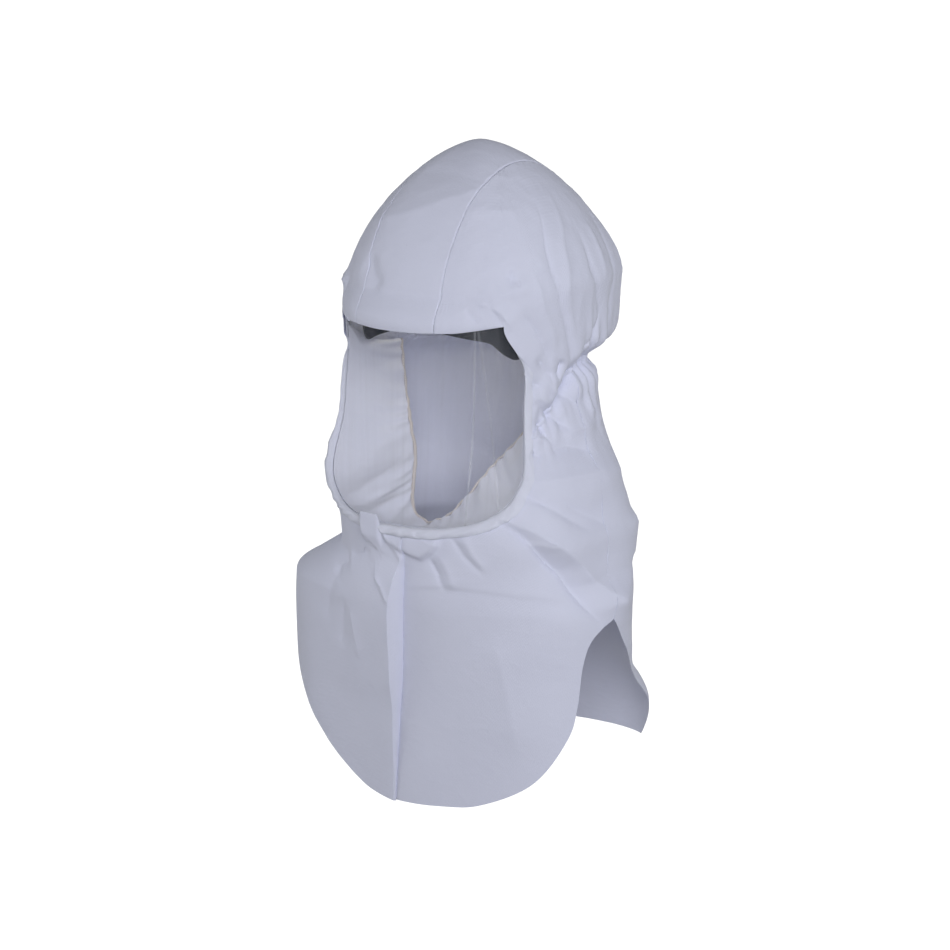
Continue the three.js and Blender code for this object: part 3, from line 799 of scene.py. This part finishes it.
def crown_side(hand):
    brow, nape = (seam_place(hand, share, SEAM_CLOSE) for share in (0, 1))
    hem = run((hand * arc_of(brow) + SIDE_START, brow[2]), CLOTH_EDGE[-1], HEM_STEPS)[:-1]
    arcs = np.linspace(CLOTH_EDGE[GATHER_STEP, 0], hand * arc_of(nape) - SIDE_NAPE, GATHER_STEPS)
    gathered = together(arcs, gather_z(arcs) + UNDER_CASING)
    rest = np.concatenate([CLOTH_EDGE[GATHER_STEP + 1:][::-1], gathered])
    hem_shares = CORNER_SHARE * np.arange(len(hem)) / len(hem)
    rest_shares = mix(CORNER_SHARE, 1, np.linspace(0, 1, len(rest)) ** SIDE_LEAN)
    shares = np.concatenate([hem_shares, rest_shares])
    lower = np.concatenate([hem, rest])
    top = seam_place(hand, shares, SEAM_CLOSE)
    foot = on_cloth(hand * lower[:, 0], lower[:, 1])
    grid = push_to_crown(mix(top, foot, closer_at_ends(SIDE_DOWN)[:, None, None]))
    grid[0], grid[-1] = top, foot
    away = run_length(grid)
    small = wrinkles(grid, (0.4, 28, 1.3 + hand), (0.25, 12, 5.2))
    by_hem = 1 - smoothstep(np.arange(len(lower)), *(len(hem) + end for end in HEM_ENDS))
    up = np.maximum(grid[..., 2] - grid[-1, :, 2], 0)
    relief = seam_relief(away, shares * SEAM_LENGTH) + small + by_hem * hem_relief(up)
    return raised(grid, relief * hand)[:, ::hand], together(lower[:, 0], away)[:, ::hand]


for hand, side in HANDS:
    grid, places = crown_side(hand)
    panel = sheet_piece(f"crown_panel_{side}", grid, places, CLOTH_FINISH, f"crown_side_{side}")

# %% [markdown]
# ## The bib
# The front of the cape is two halves that meet in a pleat down the centre. Each half is a patch between four
# edges: the visor and the elastic above, the centre front, the side seam, and a rounded hem below. Coons'
# way of filling such a patch mixes the opposite edges and takes away the corners once. It works on places,
# so every fold of the form comes along by itself. At the chin a small tab of the right half stands up over
# the tape, where the tape's ends are sewn in.

# %% Patches and hems
HEM_LEFT = [
    (0, -430), (53, -428), (90, -423), (128, -401), (152, -361),
    (159, -332), (163, -295), (170, -273), (188, -260),
]
HEM_RIGHT = [
    (0, -431), (38, -424), (73, -404), (94, -384), (116, -358),
    (137, -335), (156, -305), (172, -277), (188, -260),
]


def patch(top, bottom, first, last, lean=1):
    u = np.linspace(0, 1, len(top))[None, :, None]
    v = np.linspace(0, 1, len(first))[:, None, None] ** lean
    corners = mix(mix(top[0], top[-1], u), mix(bottom[0], bottom[-1], u), v)
    return mix(top[None], bottom[None], v) + mix(first[:, None], last[:, None], u) - corners


def sampled(rows, far, at):
    return np.stack([np.interp(at, far, values) for values in rows.T], -1)


def spread(places, count):
    far = run_length(places)
    return sampled(places, far, np.linspace(0, far[-1], count))


def smooth_run(points, count):
    p = np.array([points[0], *points, points[-1]], float)
    t = np.linspace(0, len(points) - 1, count)
    i = np.minimum(t.astype(int), len(points) - 2)
    leave, arrive = (p[i + 2] - p[i]) / 2, (p[i + 3] - p[i + 1]) / 2
    return hermite((t - i)[:, None], p[i + 1], p[i + 2], leave, arrive)


print("hem length", round(run_length(smooth_run(HEM_LEFT, 200))[-1]), "mm")

# %% The two halves of the bib
BIB_ROWS, BIB_GATHERED, BIB_LEAN, HEM_POINTS, FOLD_EDGE = 230, 50, 1.3, 300, 0.05
TAB_INNER, TAB_OUTER, TAB_TALL, TAB_LIFT, TAB_FADE = (5, 9), (26, 31), 15, 4.2, (-198, -185)
TIGHT_WITHIN, TIGHT_FROM = 25, (100, 135)


def near_gather(arc, z):
    return np.exp(-np.abs(z - gather_z(arc)) / TIGHT_WITHIN) * smoothstep(np.abs(arc), *TIGHT_FROM)


def tab(arc):
    return smoothstep(-arc, *TAB_INNER) * (1 - smoothstep(-arc, *TAB_OUTER))


def bib(hand, hem_rows):
    def start(z):
        return (pleat_arc(z) if hand > 0 else -ridge_arc(z)) + FOLD_EDGE

    high, low = CLOTH_EDGE[0, 1], hem_rows[0][1]
    end = SIDE_ARC - SEAM_CLOSE
    beside = both_sides(CLOTH_EDGE[:GATHER_STEP])
    beside = beside[beside[:, 0] > start(high) + 1]
    beside[:, 1] += TAB_TALL * tab(hand * beside[:, 0])
    arcs = np.linspace(CLOTH_EDGE[GATHER_STEP, 0], end, BIB_GATHERED)
    gathered = together(arcs, gather_z(arcs) - UNDER_CASING)
    hem = smooth_run(hem_rows, HEM_POINTS)
    hem = hem[(hem[:, 0] > start(low)) & (hem[:, 0] < end)]
    top = np.concatenate([[(start(high), high)], beside, gathered])
    bottom = spread(np.concatenate([[(start(low), low)], hem, [(end, hem_rows[-1][1])]]), len(top))
    v = np.linspace(0, 1, BIB_ROWS) ** BIB_LEAN
    z = mix(high, low, v)
    side_seam = mix(top[-1], bottom[-1], v[:, None])
    places = patch(top, bottom, together(start(z), z), side_seam, BIB_LEAN)
    arc, z = places[..., 0], places[..., 1]
    grid = on_cloth(hand * arc, z, TAB_LIFT * tab(hand * arc) * smoothstep(z, *TAB_FADE))
    tight = near_gather(arc, z)
    small = wrinkles(grid, (0.2 + 0.5 * tight, 34, 2.2 + hand), (0.05 + 0.4 * tight, 12, 4.4))
    return raised(grid, small * hand)[:, ::hand], places[:, ::hand]


for (hand, side), hem_rows in zip(HANDS, (HEM_LEFT, HEM_RIGHT)):
    grid, places = bib(hand, hem_rows)
    half = sheet_piece(f"bib_half_{side}", grid, places, CLOTH_FINISH, f"bib_{side}")

# %% [markdown]
# ## The pleat
# Where the right half stands out over the left, a narrow strip of cloth turns back between the two. It is
# what shows as a bright stripe down the front. It is ruled from the ridge to the crease at each height, with
# a slight bow, because a pressed fold never lies quite flat.

# %% Strip of the pleat
PLEAT_ROWS, PLEAT_COLS, PLEAT_BOW, PLEAT_WIDE = 170, 9, 0.5, 20
z = np.linspace(PLEAT["z"][-1] - 1, PLEAT["z"][0], PLEAT_ROWS)[:, None]
v = np.linspace(0, 1, PLEAT_COLS)[None]
grid = on_cloth(mix(ridge_arc(z), pleat_arc(z), v), z, -CLOTH_THICK * v)
grid = raised(grid, (PLEAT_BOW + wrinkles(grid, (0.3, 14, 8.1))) * np.sin(np.pi * v))
places = together(PLEAT_WIDE * v, z)
pleat_strip = sheet_piece("pleat_strip", grid, places, CLOTH_FINISH, "front_flange")

# %% [markdown]
# ## The back of the cape
# One wide panel runs round the back from side seam to side seam. Below the arm slits it falls in two pointed
# lobes. It is the same kind of patch as the bib, and its side edge is two straight runs: the side seam and
# then the edge of the slit out to the point.

# %% Back panel
SLIT_Z, LOBE_ARC, LOBE_Z, BACK_FOOT_Z = -260, 284, -406, -412
BACK_COLS, SEAM_ROWS, SLIT_ROWS = 230, 56, 49


def across(places):
    return together(2 * NAPE_ARC - places[:, 0], places[:, 1])


start = (SIDE_ARC + SEAM_CLOSE, float(gather_z(SIDE_ARC)) - UNDER_CASING)
slit, corner = (start[0], SLIT_Z), (LOBE_ARC, LOBE_Z)
first = np.concatenate([run(start, slit, SEAM_ROWS), run(slit, corner, SLIT_ROWS)[1:]])
arcs = np.linspace(start[0], 2 * NAPE_ARC - start[0], BACK_COLS)
top = together(arcs, gather_z(turned(arcs)) - UNDER_CASING)
t = np.linspace(0, 1, BACK_COLS)[:, None]
ends = np.array([corner, (NAPE_ARC, BACK_FOOT_Z), (2 * NAPE_ARC - LOBE_ARC, LOBE_Z)], float)
foot = mix(mix(ends[0], ends[1], t), mix(ends[1], ends[2], t), t)
places = patch(top, foot, first, across(first))
arc, z = turned(places[..., 0]), places[..., 1]
tight = near_gather(arc, z)
grid = on_cloth(arc, z)
grid = raised(grid, wrinkles(grid, (0.35 + 0.6 * tight, 32, 6.3), (0.15 + 0.4 * tight, 13, 9.1)))
cape_panel = sheet_piece("cape_panel", grid, places, CLOTH_FINISH, "cape_back")

# %% [markdown]
# ## The elastic casing
# A narrow tunnel of cloth holds the elastic. It is a band that follows the gather line just outside the
# cloth, so every ruffle under it shows in it, and it is a little round across because the elastic fills it.

# %% Casing round the neck
CASING_HALF, CASING_LIFT, CASING_BULGE, CASING_RIPPLE = 2.6, 1.0, 0.9, 0.25
CASING_COLS, CASING_ROWS, CASING_START = 700, 9, 0.3
first_arc = CLOTH_EDGE[GATHER_STEP, 0] + CASING_START
arcs = np.linspace(first_arc, 2 * NAPE_ARC - first_arc, CASING_COLS)
v = np.linspace(-1, 1, CASING_ROWS)[:, None]
heights = gather_z(turned(arcs)) - CASING_HALF * v
ripple = CASING_RIPPLE * np.sin(arcs / 1.1 + np.sin(arcs / 9))
grid = on_cloth(turned(arcs), heights, CASING_LIFT + CASING_BULGE * (1 - v ** 2) + ripple)
casing = sheet_piece("neck_casing", grid, together(arcs, heights), CLOTH_FINISH, "neck_elastic")

# %% [markdown]
# ## The visor film
# The window is a sheet of thin clear film that bends round the face. Real glass settings would keep daylight
# out of the hood, because light seldom finds its way through a bent sheet of glass in a render. A film that
# is mostly see-through with a faint milky veil shows the same and lets light in. Drawn film has fine streaks
# along its length, and these change the veil a little from place to place. A pale upright line and a
# slanted gleam, which the photo shows, make the veil stronger along two lines. The gleam is a painted
# reflection that stays fixed on the film.

# %% Film finish
# The veil is stronger along a pale upright line and along a slanted gleam; the gleam is a painted reflection.
PALE_LINE_AT, PAINTED_GLEAM_AT, PAINTED_GLEAM_SLOPE = 0.068, 0.07, -0.15


def clear_film():
    film = Finish("visor_film", IOR=1.5, Coat_Weight=0.4, Coat_Roughness=0.05)
    place = film.weave()
    streaks = film.grain(film.stretched(place, (1, 0.02, 1)), 130, 4, 0.6)
    wide = film.grain(film.stretched(place, (1, 0.05, 1)), 22, 2)
    haze = film.grain(place, 60, 3)
    film.feed(Base_Color=film.tint(haze, (0.62, 0.65, 0.72), (0.72, 0.74, 0.80)))
    x, y = film.parts(place)
    pale_line = 1 - abs(x - PALE_LINE_AT).above(0.0008, 0.0006)
    # Painted reflection: a slanted gleam made stronger in the veil, fixed on the film.
    beyond = x - y * PAINTED_GLEAM_SLOPE - PAINTED_GLEAM_AT
    painted_gleam = beyond.above(0, 0.001) * 0.016 + (1 - abs(beyond).above(0.0009, 0.0006)) * 0.06
    veil = 0.006 + streaks ** 4 * 0.14 + wide.above(0.5, 0.1) * 0.016
    film.feed(Alpha=veil + pale_line * 0.11 + painted_gleam)
    film.feed(Roughness=0.08 + haze * 0.06)
    return film.material


FILM_FINISH = clear_film()
print("film finish", FILM_FINISH.name)

# %% Film of the visor
FILM_INSET, FILM_TUCK, FILM_LEAN, FILM_UNDERLAP, FILM_THICK = 3.3, 12, 3, 5, 0.25
FILM_COLS, FILM_ROWS = 120, 70


def on_form(arc, z, lift=0):
    form = section(z)
    side = np.where(np.sin(arc / DEVELOP) > 0, form["left"], form["right"])
    return stand_out(oval(arc / DEVELOP, side, form["front"]) + lift, arc, z)


edge = window_edge(FILM_UNDERLAP)
spring = step_above(edge, WINDOW_SPRING)
tuck = np.array([edge[-1, 0], FILM_TUCK])
top = run(tuck * (-1, 1), tuck, FILM_COLS)
bottom = spread(both_sides(edge[:spring + 1]), FILM_COLS)
last = spread(np.concatenate([[tuck], edge[spring:][::-1]]), FILM_ROWS)
places = patch(top, bottom, last * (-1, 1), last)
inset = FILM_INSET + FILM_LEAN * np.maximum(0, places[..., 1]) / FILM_TUCK
grid = on_form(places[..., 0], places[..., 1], -inset)
sheet_piece("visor_sheet", grid, places, FILM_FINISH, "visor_lens", FILM_THICK)
print("film area in square metres", area_of(grid))

# %% [markdown]
# ## The rolled tape
# A folded tape binds the sides and the foot of the visor. It is a band with a round top that follows the edge
# of the window, and it puckers a little where the cloth under it is gathered. Its inner lip turns down onto
# the film, so no slot shows beside it. Making it from the same edge keeps it exactly over the joint of film
# and cloth.

# %% Tape round the visor
TAPE_LIFT, TAPE_UNDER, TAPE_LIP, TAPE_TOP, TAPE_THICK = 0.8, -1.9, -3.28, -2.2, 0.9
FLAT_BULGE, FOOT_BULGE, TAPE_ROWS = 0.8, 2.2, 15
UNDER_FADE, FOOT_FADE = (30, 52), (135, 172)
LIP = table("grow share", (0.9, 0), (0.2, 0.25), (-0.3, 0.55), (-0.1, 0.85))
v = np.linspace(0, 1, TAPE_ROWS)
grows = np.concatenate([LIP["grow"], TAPE_WIDTH * v])
full = np.concatenate([LIP["share"], np.ones(TAPE_ROWS)])[:, None, None]
v = np.concatenate([np.zeros(len(LIP["grow"])), v])[:, None]
places = np.stack([both_sides(window_edge(grow)) for grow in grows])
arc, z = places[..., 0], np.minimum(places[..., 1], TAPE_TOP)
foot_share = smoothstep(-z, *FOOT_FADE)
round_top = np.sin(np.pi * v) ** 0.7
lift = mix(TAPE_UNDER, TAPE_LIFT, smoothstep(-z, *UNDER_FADE))
lift = lift + mix(FLAT_BULGE, FOOT_BULGE, foot_share) * round_top
grid = mix(on_form(arc, z, TAPE_LIP), on_cloth(arc, z, lift), full)
far = run_length(grid[-TAPE_ROWS // 2])
twist = np.sin(far / 3.1 + 5 * v + 2.2 * np.sin(far / 17))
pucker = (0.15 + 0.45 * foot_share) * twist * np.sin(np.pi * v)
grid = raised(grid, pucker + wrinkles(grid, (0.2, 9, 1.9)) * round_top)
places = together(v * TAPE_WIDTH, far)
tape = sheet_piece("visor_binding", grid, places, TAPE_FINISH, "visor_tape", TAPE_THICK)
print("tape is", round(far[-1]), "mm long")

# %% [markdown]
# ## The face seal
# Inside the visor a curtain of cloth runs from the film's edge in to the face, so that air leaves only where
# it should. An elastic along its free edge gathers it, so folds fan out from that edge and fade towards the
# film. The free edge is a row of points from chin to temple, the same on both sides. The outer rim runs on
# under the tape, and the top keeps outside the head band.

# %% Seal and its gathers
SEAL_EDGE = table(
    "share x y z",
    (0, 0, -68, -187),
    (0.14, 18, -63, -179),
    (0.42, 43, -27, -136),
    (0.58, 56, -15, -118),
    (0.8, 71, -2, -88),
    (1, 75, -4, -40),
)
SEAL_TOP, SEAL_BILLOW, SEAL_INSET, SEAL_COLS = -16, 7, 3.6, 44
SEAL_RIM, SEAL_HEM, SEAL_TUCK, SEAL_STEPS, SEAL_DEEP = (4.5, 3, 1.5), (15, 9), 1.4, 300, 60
FAN_HIGH, SLANT_HIGH, SLANT_RUN = 0.9, 3.2, 34
BAND_CLEAR, BAND_LEVEL, BAND_FRONT = 88, (-42, -35), (0, 16)
ELASTIC_RADIUS, ELASTIC_SEAT = 1.7, 0.6


def seal_edge(t):
    share = np.abs(2 * t - 1)
    x, y, z = (column(SEAL_EDGE, "share", key, share) for key in "xyz")
    return together(np.where(t < 0.5, -x, x), y, z)


def seal_rim(grow):
    edge = window_edge(grow)
    arc, z = spread(both_sides(edge[:step_above(edge, SEAL_TOP)]), SEAL_STEPS).T
    return on_cloth(arc, z, -SEAL_TUCK) if grow in SEAL_HEM else on_form(arc, z, -SEAL_INSET)


start = seal_rim(0)
t = np.linspace(0, 1, SEAL_STEPS)
free = seal_edge(t)
end = free - unit(free - start) * (ELASTIC_RADIUS - ELASTIC_SEAT)
v = np.linspace(0, 1, SEAL_COLS)
grid = mix(start[:, None], end[:, None], v[:, None])
grid[..., 2] -= SEAL_BILLOW * 4 * v * (1 - v)
far = run_length(free)[:, None]
wave = np.sin(far / 2.2 + 2 * np.sin(far / 11)) + 0.6 * np.sin(far / 4.6 + 1)
slant = zigzag((far - SLANT_RUN * (1 - v)) / 7.5 + 1.4 * np.sin(far / 23))
middle = np.sin(np.pi * v)
calm = middle * (0.35 + 0.65 * np.sin(np.pi * t[:, None]) ** 2)
fan = FAN_HIGH * wave * v ** 2 + SLANT_HIGH * slant * calm
grid = raised(grid, fan + wrinkles(grid, (0.4, 14, 2.7)) * middle)
beside_band = smoothstep(grid[..., 2], *BAND_LEVEL) * smoothstep(-grid[..., 1], *BAND_FRONT)
outside = np.sign(grid[..., 0]) * np.maximum(np.abs(grid[..., 0]), BAND_CLEAR)
grid[..., 0] = mix(grid[..., 0], outside, beside_band)
rims = SEAL_HEM + SEAL_RIM
grid = np.concatenate([np.stack([seal_rim(grow) for grow in rims], 1), grid], 1)
places = together(np.concatenate([-np.array(rims), v * SEAL_DEEP]), far)
# The seal takes the darker cloth finish, which is painted shade for the hollow behind the film.
seal = sheet_piece("seal_curtain", grid, places, SEAL_SHADED_FINISH, "face_seal")

# %% Elastic finish
def beige_elastic():
    band = Finish("beige_elastic", Sheen_Weight=0.1, Specular_IOR_Level=0.3)
    place = band.weave()
    x, y = band.parts(place)
    ribs = (y * 2600 + (x * 900).sine() * 2).sine()
    fuzz = band.grain(place, 800)
    band.feed(Base_Color=band.tint(ribs * 0.3 + fuzz * 0.7, (0.66, 0.60, 0.58), (0.80, 0.76, 0.76)))
    band.feed(Roughness=0.7 + fuzz * 0.15)
    band.relief(ribs * 0.5 + fuzz * 0.4, 0.6, 0.0006)
    return band.material


ELASTIC_FINISH = beige_elastic()
print("elastic finish", ELASTIC_FINISH.name)

# %% Tubes and rings
def tube_faces(stations, sides, closed):
    ring = np.arange(stations * sides).reshape(stations, sides)
    after = np.roll(ring, -1, axis=0)
    body = np.stack([ring, after, np.roll(after, -1, axis=1), np.roll(ring, -1, axis=1)], -1)
    if closed:
        return body.reshape(-1, 4).tolist()
    return body[:-1].reshape(-1, 4).tolist() + [ring[0].tolist(), ring[-1, ::-1].tolist()]


def turns(sides):
    return np.linspace(0, 2 * np.pi, sides, endpoint=False)


def spokes(sides, side, up):
    turn = turns(sides)[:, None]
    return np.cos(turn) * side[..., None, :] + np.sin(turn) * up[..., None, :]


# %% Elastic along the seal
ELASTIC_SIDES, ELASTIC_FLAT, ELASTIC_STEPS, ELASTIC_WAVE, ELASTIC_ROUND = 12, 0.62, 420, 0.5, 3
UP_HINT = (0.0, 0.35, 1.0)
path = seal_edge(np.linspace(0, 1, ELASTIC_STEPS))
far = run_length(path)[:, None]
way = unit(np.gradient(path, axis=0))
side = unit(np.cross(way, UP_HINT))
up = np.cross(side, way)
path = path + up * ELASTIC_WAVE * np.sin(far / 2.6 + 2 * np.sin(far / 11))
rings = path[:, None] + ELASTIC_RADIUS * spokes(ELASTIC_SIDES, side, ELASTIC_FLAT * up)
places = together(turns(ELASTIC_SIDES) * ELASTIC_ROUND, far, 0)
faces = tube_faces(ELASTIC_STEPS, ELASTIC_SIDES, False)
piece("seal_elastic_edge", rings, faces, places, ELASTIC_FINISH, "seal_elastic")

# %% [markdown]
# ## The head band
# A moulded plastic band carries the hood. Only its brow and a temple plate show behind the film. It is a ring
# with a rounded section whose lower and upper edges change round the head, so the temple plates grow out of
# the band. Dark plastic shows light at its edges, which is why the section has round corners and not square
# ones.

# %% Plastic finish
def moulded_plastic():
    shine = {"Specular_IOR_Level": 0.25, "Coat_Weight": 0.03, "Coat_Roughness": 0.3}
    plastic = Finish("dark_plastic", IOR=1.46, **shine)
    place = plastic.weave()
    pitted = plastic.grain(place, 1500, 2)
    cloudy = plastic.grain(place, 45, 3)
    plastic.feed(Base_Color=plastic.tint(cloudy, (0.008, 0.010, 0.016), (0.014, 0.017, 0.025)))
    plastic.feed(Roughness=0.4 + pitted * 0.12 + cloudy * 0.08)
    plastic.relief(pitted, 0.35, 0.0002)
    return plastic.material


BAND_FINISH = moulded_plastic()
print("plastic finish", BAND_FINISH.name)

# %% Band round the head
BAND_EDGES = table(
    "turn low high",
    (0, -5.5, 17),
    (14, -8, 16.5),
    (35, -13.5, 15.5),
    (48, -17.5, 13),
    (58, -29, 8),
    (66, -34.5, 0),
    (76, -34, -10),
    (100, -34, -18),
    (180, -52, -34),
)
BAND_MIDDLE_Y, BAND_HALF_WIDTH, BAND_HALF_DEPTH, BAND_THICK = 3, 86, 102, 2.2
BROW_SQUARENESS, NAPE_SQUARENESS = 2.5, 2.0
BAND_STATIONS, BAND_ROUND = 240, 0.8


def band_point(turn, inset, z):
    share = np.minimum(turn, 360 - turn)
    power = 2 / np.where(share < 90, BROW_SQUARENESS, NAPE_SQUARENESS)
    sine, cosine = np.sin(np.radians(turn)), np.cos(np.radians(turn))
    x = (BAND_HALF_WIDTH - inset) * np.sign(sine) * np.abs(sine) ** power
    y = BAND_MIDDLE_Y - (BAND_HALF_DEPTH - inset) * np.sign(cosine) * np.abs(cosine) ** power
    return together(x, y, z)


turn = np.linspace(0, 360, BAND_STATIONS, endpoint=False)
share = np.minimum(turn, 360 - turn)
low, high = (column(BAND_EDGES, "turn", key, share) for key in ("low", "high"))
bend = np.linspace(0, np.pi / 2, 4)
outer = [(BAND_ROUND * (1 - np.sin(b)), BAND_ROUND * (1 - np.cos(b))) for b in bend]
profile = [(inset, high - drop) for inset, drop in outer[::-1]]
profile += [(BAND_THICK - inset, high - drop) for inset, drop in outer]
profile += [(BAND_THICK - inset, low + drop) for inset, drop in outer[::-1]]
profile += [(inset, low + drop) for inset, drop in outer]
rings = np.stack([band_point(turn, inset, z) for inset, z in profile], 1)
faces = tube_faces(BAND_STATIONS, len(profile), True)
piece("brow_band", rings, faces, rings, BAND_FINISH, "head_band")
print("band", BAND_STATIONS, "stations,", len(profile), "points round")

# %% [markdown]
# ## Stitches
# Thread shows as a dotted line along the crown seams and above the brow hem. Each stitch is a small spindle
# that lies along its line and dips into the cloth at both ends. All stitches of one line are a single mesh,
# which is far lighter than hundreds of objects.

# %% Thread finish and stitches
STITCH_LONG, STITCH_PITCH, STITCH_RADIUS, STITCH_RISE, STITCH_DIP = 2.1, 2.9, 0.24, 0.15, 1.2
STITCH_SIDES, STITCH_RINGS = 6, 6


def thread():
    cotton = Finish("sewing_thread", Sheen_Weight=0.2, Specular_IOR_Level=0.3)
    place = cotton.weave()
    twist = cotton.grain(cotton.stretched(place, (1, 0.4, 1)), 1800, 2)
    cotton.feed(Base_Color=cotton.tint(twist, (0.55, 0.57, 0.66), (0.70, 0.72, 0.82)))
    cotton.feed(Roughness=0.6 + twist * 0.2)
    cotton.relief(twist, 0.4, 0.0002)
    return cotton.material


THREAD_FINISH = thread()


def stitches(name, path, out):
    far = run_length(path)
    middles = np.arange(STITCH_PITCH, far[-1] - STITCH_PITCH, STITCH_PITCH)
    s = np.linspace(-0.5, 0.5, STITCH_RINGS)
    at = middles[:, None] + s * STITCH_LONG
    line, up = sampled(path, far, at), unit(sampled(out, far, at))
    way = unit(np.gradient(line, axis=1))
    side = np.cross(way, up)
    up = np.cross(side, way)
    thick = STITCH_RADIUS * np.sqrt(np.maximum(1 - (1.9 * s) ** 2, 0.05))
    line = line + up * (STITCH_RISE - STITCH_DIP * s * s)[:, None]
    rings = line[:, :, None] + spokes(STITCH_SIDES, side, up) * thick[:, None, None]
    one = tube_faces(STITCH_RINGS, STITCH_SIDES, False)
    size = STITCH_RINGS * STITCH_SIDES
    faces = [[k * size + i for i in face] for k in range(len(middles)) for face in one]
    piece(name, rings, faces, rings, THREAD_FINISH, None)


# %% Stitches along the crown seams
SEAM_SAMPLES, SEAM_SINK = 300, 0.6
for hand, side in HANDS:
    path = seam_place(hand, np.linspace(0.01, 0.99, SEAM_SAMPLES), 0)
    out = unit(path - CROWN_HEART)
    stitches(f"seam_thread_{side}", path - out * SEAM_SINK, out)

# %% Stitches above the brow hem
HEM_STITCH_UP, HEM_SAMPLES = HEM_TALL - STITCH_DROP, 260
brow = push_to_crown(on_cloth(np.linspace(-WINDOW_HEM, WINDOW_HEM, HEM_SAMPLES), HEM_STITCH_UP))
out = unit(brow - (0, CROWN_HEART[1], HEM_STITCH_UP))
stitches("hem_thread", brow + out * STITCH_RISE, out)

# %% [markdown]
# ## Floor and light
# The photo is a cut-out on white, so the floor is a plain sheet far below the hem that is white by itself and
# lights nothing. A large soft key light stands beside the camera, because the side panels are brighter than
# the top of the crown. A fill stands at the wearer's right, a weaker light behind the left shoulder, and a
# weak sky fills the rest. Thin cloth lets some daylight in, which these closed skins can't, so a very weak
# warm lamp inside the crown stands for that light.

# %% Floor
FLOOR_Z, FLOOR_HALF = -0.95, 30
floor_mesh = bpy.data.meshes.new("studio_floor")
corners = [(-1, -1), (1, -1), (1, 1), (-1, 1)]
floor_mesh.from_pydata([(a * FLOOR_HALF, b * FLOOR_HALF, FLOOR_Z) for a, b in corners], [], [(0, 1, 2, 3)])
floor_finish = Finish("studio_white", Roughness=0.9, Emission_Strength=1.0, Emission_Color=(1, 1, 1, 1))
paper = floor_finish.grain(floor_finish.node("ShaderNodeTexCoord", {}, {}, "Object"), 3)
floor_finish.feed(Base_Color=floor_finish.tint(paper, (0.93, 0.93, 0.93), (0.95, 0.95, 0.95)))
floor_mesh.materials.append(floor_finish.material)
floor = put("studio_floor", floor_mesh)
floor.visible_diffuse = False

# %% Lights
NEAR_WHITE, COOL, WARM = (0.95, 0.97, 1.0), (0.95, 0.96, 1.0), (1.0, 0.95, 0.70)
THROUGH_CROWN, INNER_WALL = Vector((-0.02, 0.0, 0.075)), Vector((0.08, 0.09, -0.1))
SKY_STRENGTH, SKY_LOW, SKY_HIGH = 0.17, (1.0, 1.0, 1.0, 1), (0.55, 0.56, 0.56, 1)


def soft_light(name, place, target, size, power, color):
    lamp = bpy.data.lights.new(name, "AREA")
    lamp.shape, lamp.size, lamp.energy, lamp.color = "DISK", size, power, color
    put(name, lamp, place, target)


soft_light("key_light", standing(43, 20, 2.4), VIEW_TARGET, 1.7, 35, COOL)
soft_light("fill_light", standing(-70, 10, 2.6), VIEW_TARGET, 1.2, 15, NEAR_WHITE)
soft_light("back_light", standing(128, 18, 2.6), VIEW_TARGET, 1.4, 10, NEAR_WHITE)
soft_light("light_through_cloth", THROUGH_CROWN, INNER_WALL, 0.1, 0.07, WARM)
world = bpy.data.worlds.new("studio_sky")
world.use_nodes = True
tree = world.node_tree
sight = add_node(tree, "ShaderNodeTexCoord", {}, {}, "Generated")
height = add_node(tree, "ShaderNodeSeparateXYZ", {}, {0: sight}, 2)
fade = add_node(tree, "ShaderNodeMapRange", {}, {0: height})
shade = add_node(tree, "ShaderNodeMix", {"data_type": "RGBA"}, {0: fade, 6: SKY_LOW, 7: SKY_HIGH}, 2)
sky = tree.nodes["Background"]
sky.inputs["Strength"].default_value = SKY_STRENGTH
tree.links.new(shade.socket, sky.inputs["Color"])
bpy.context.scene.world = world
bpy.context.scene.view_settings.view_transform = "Standard"
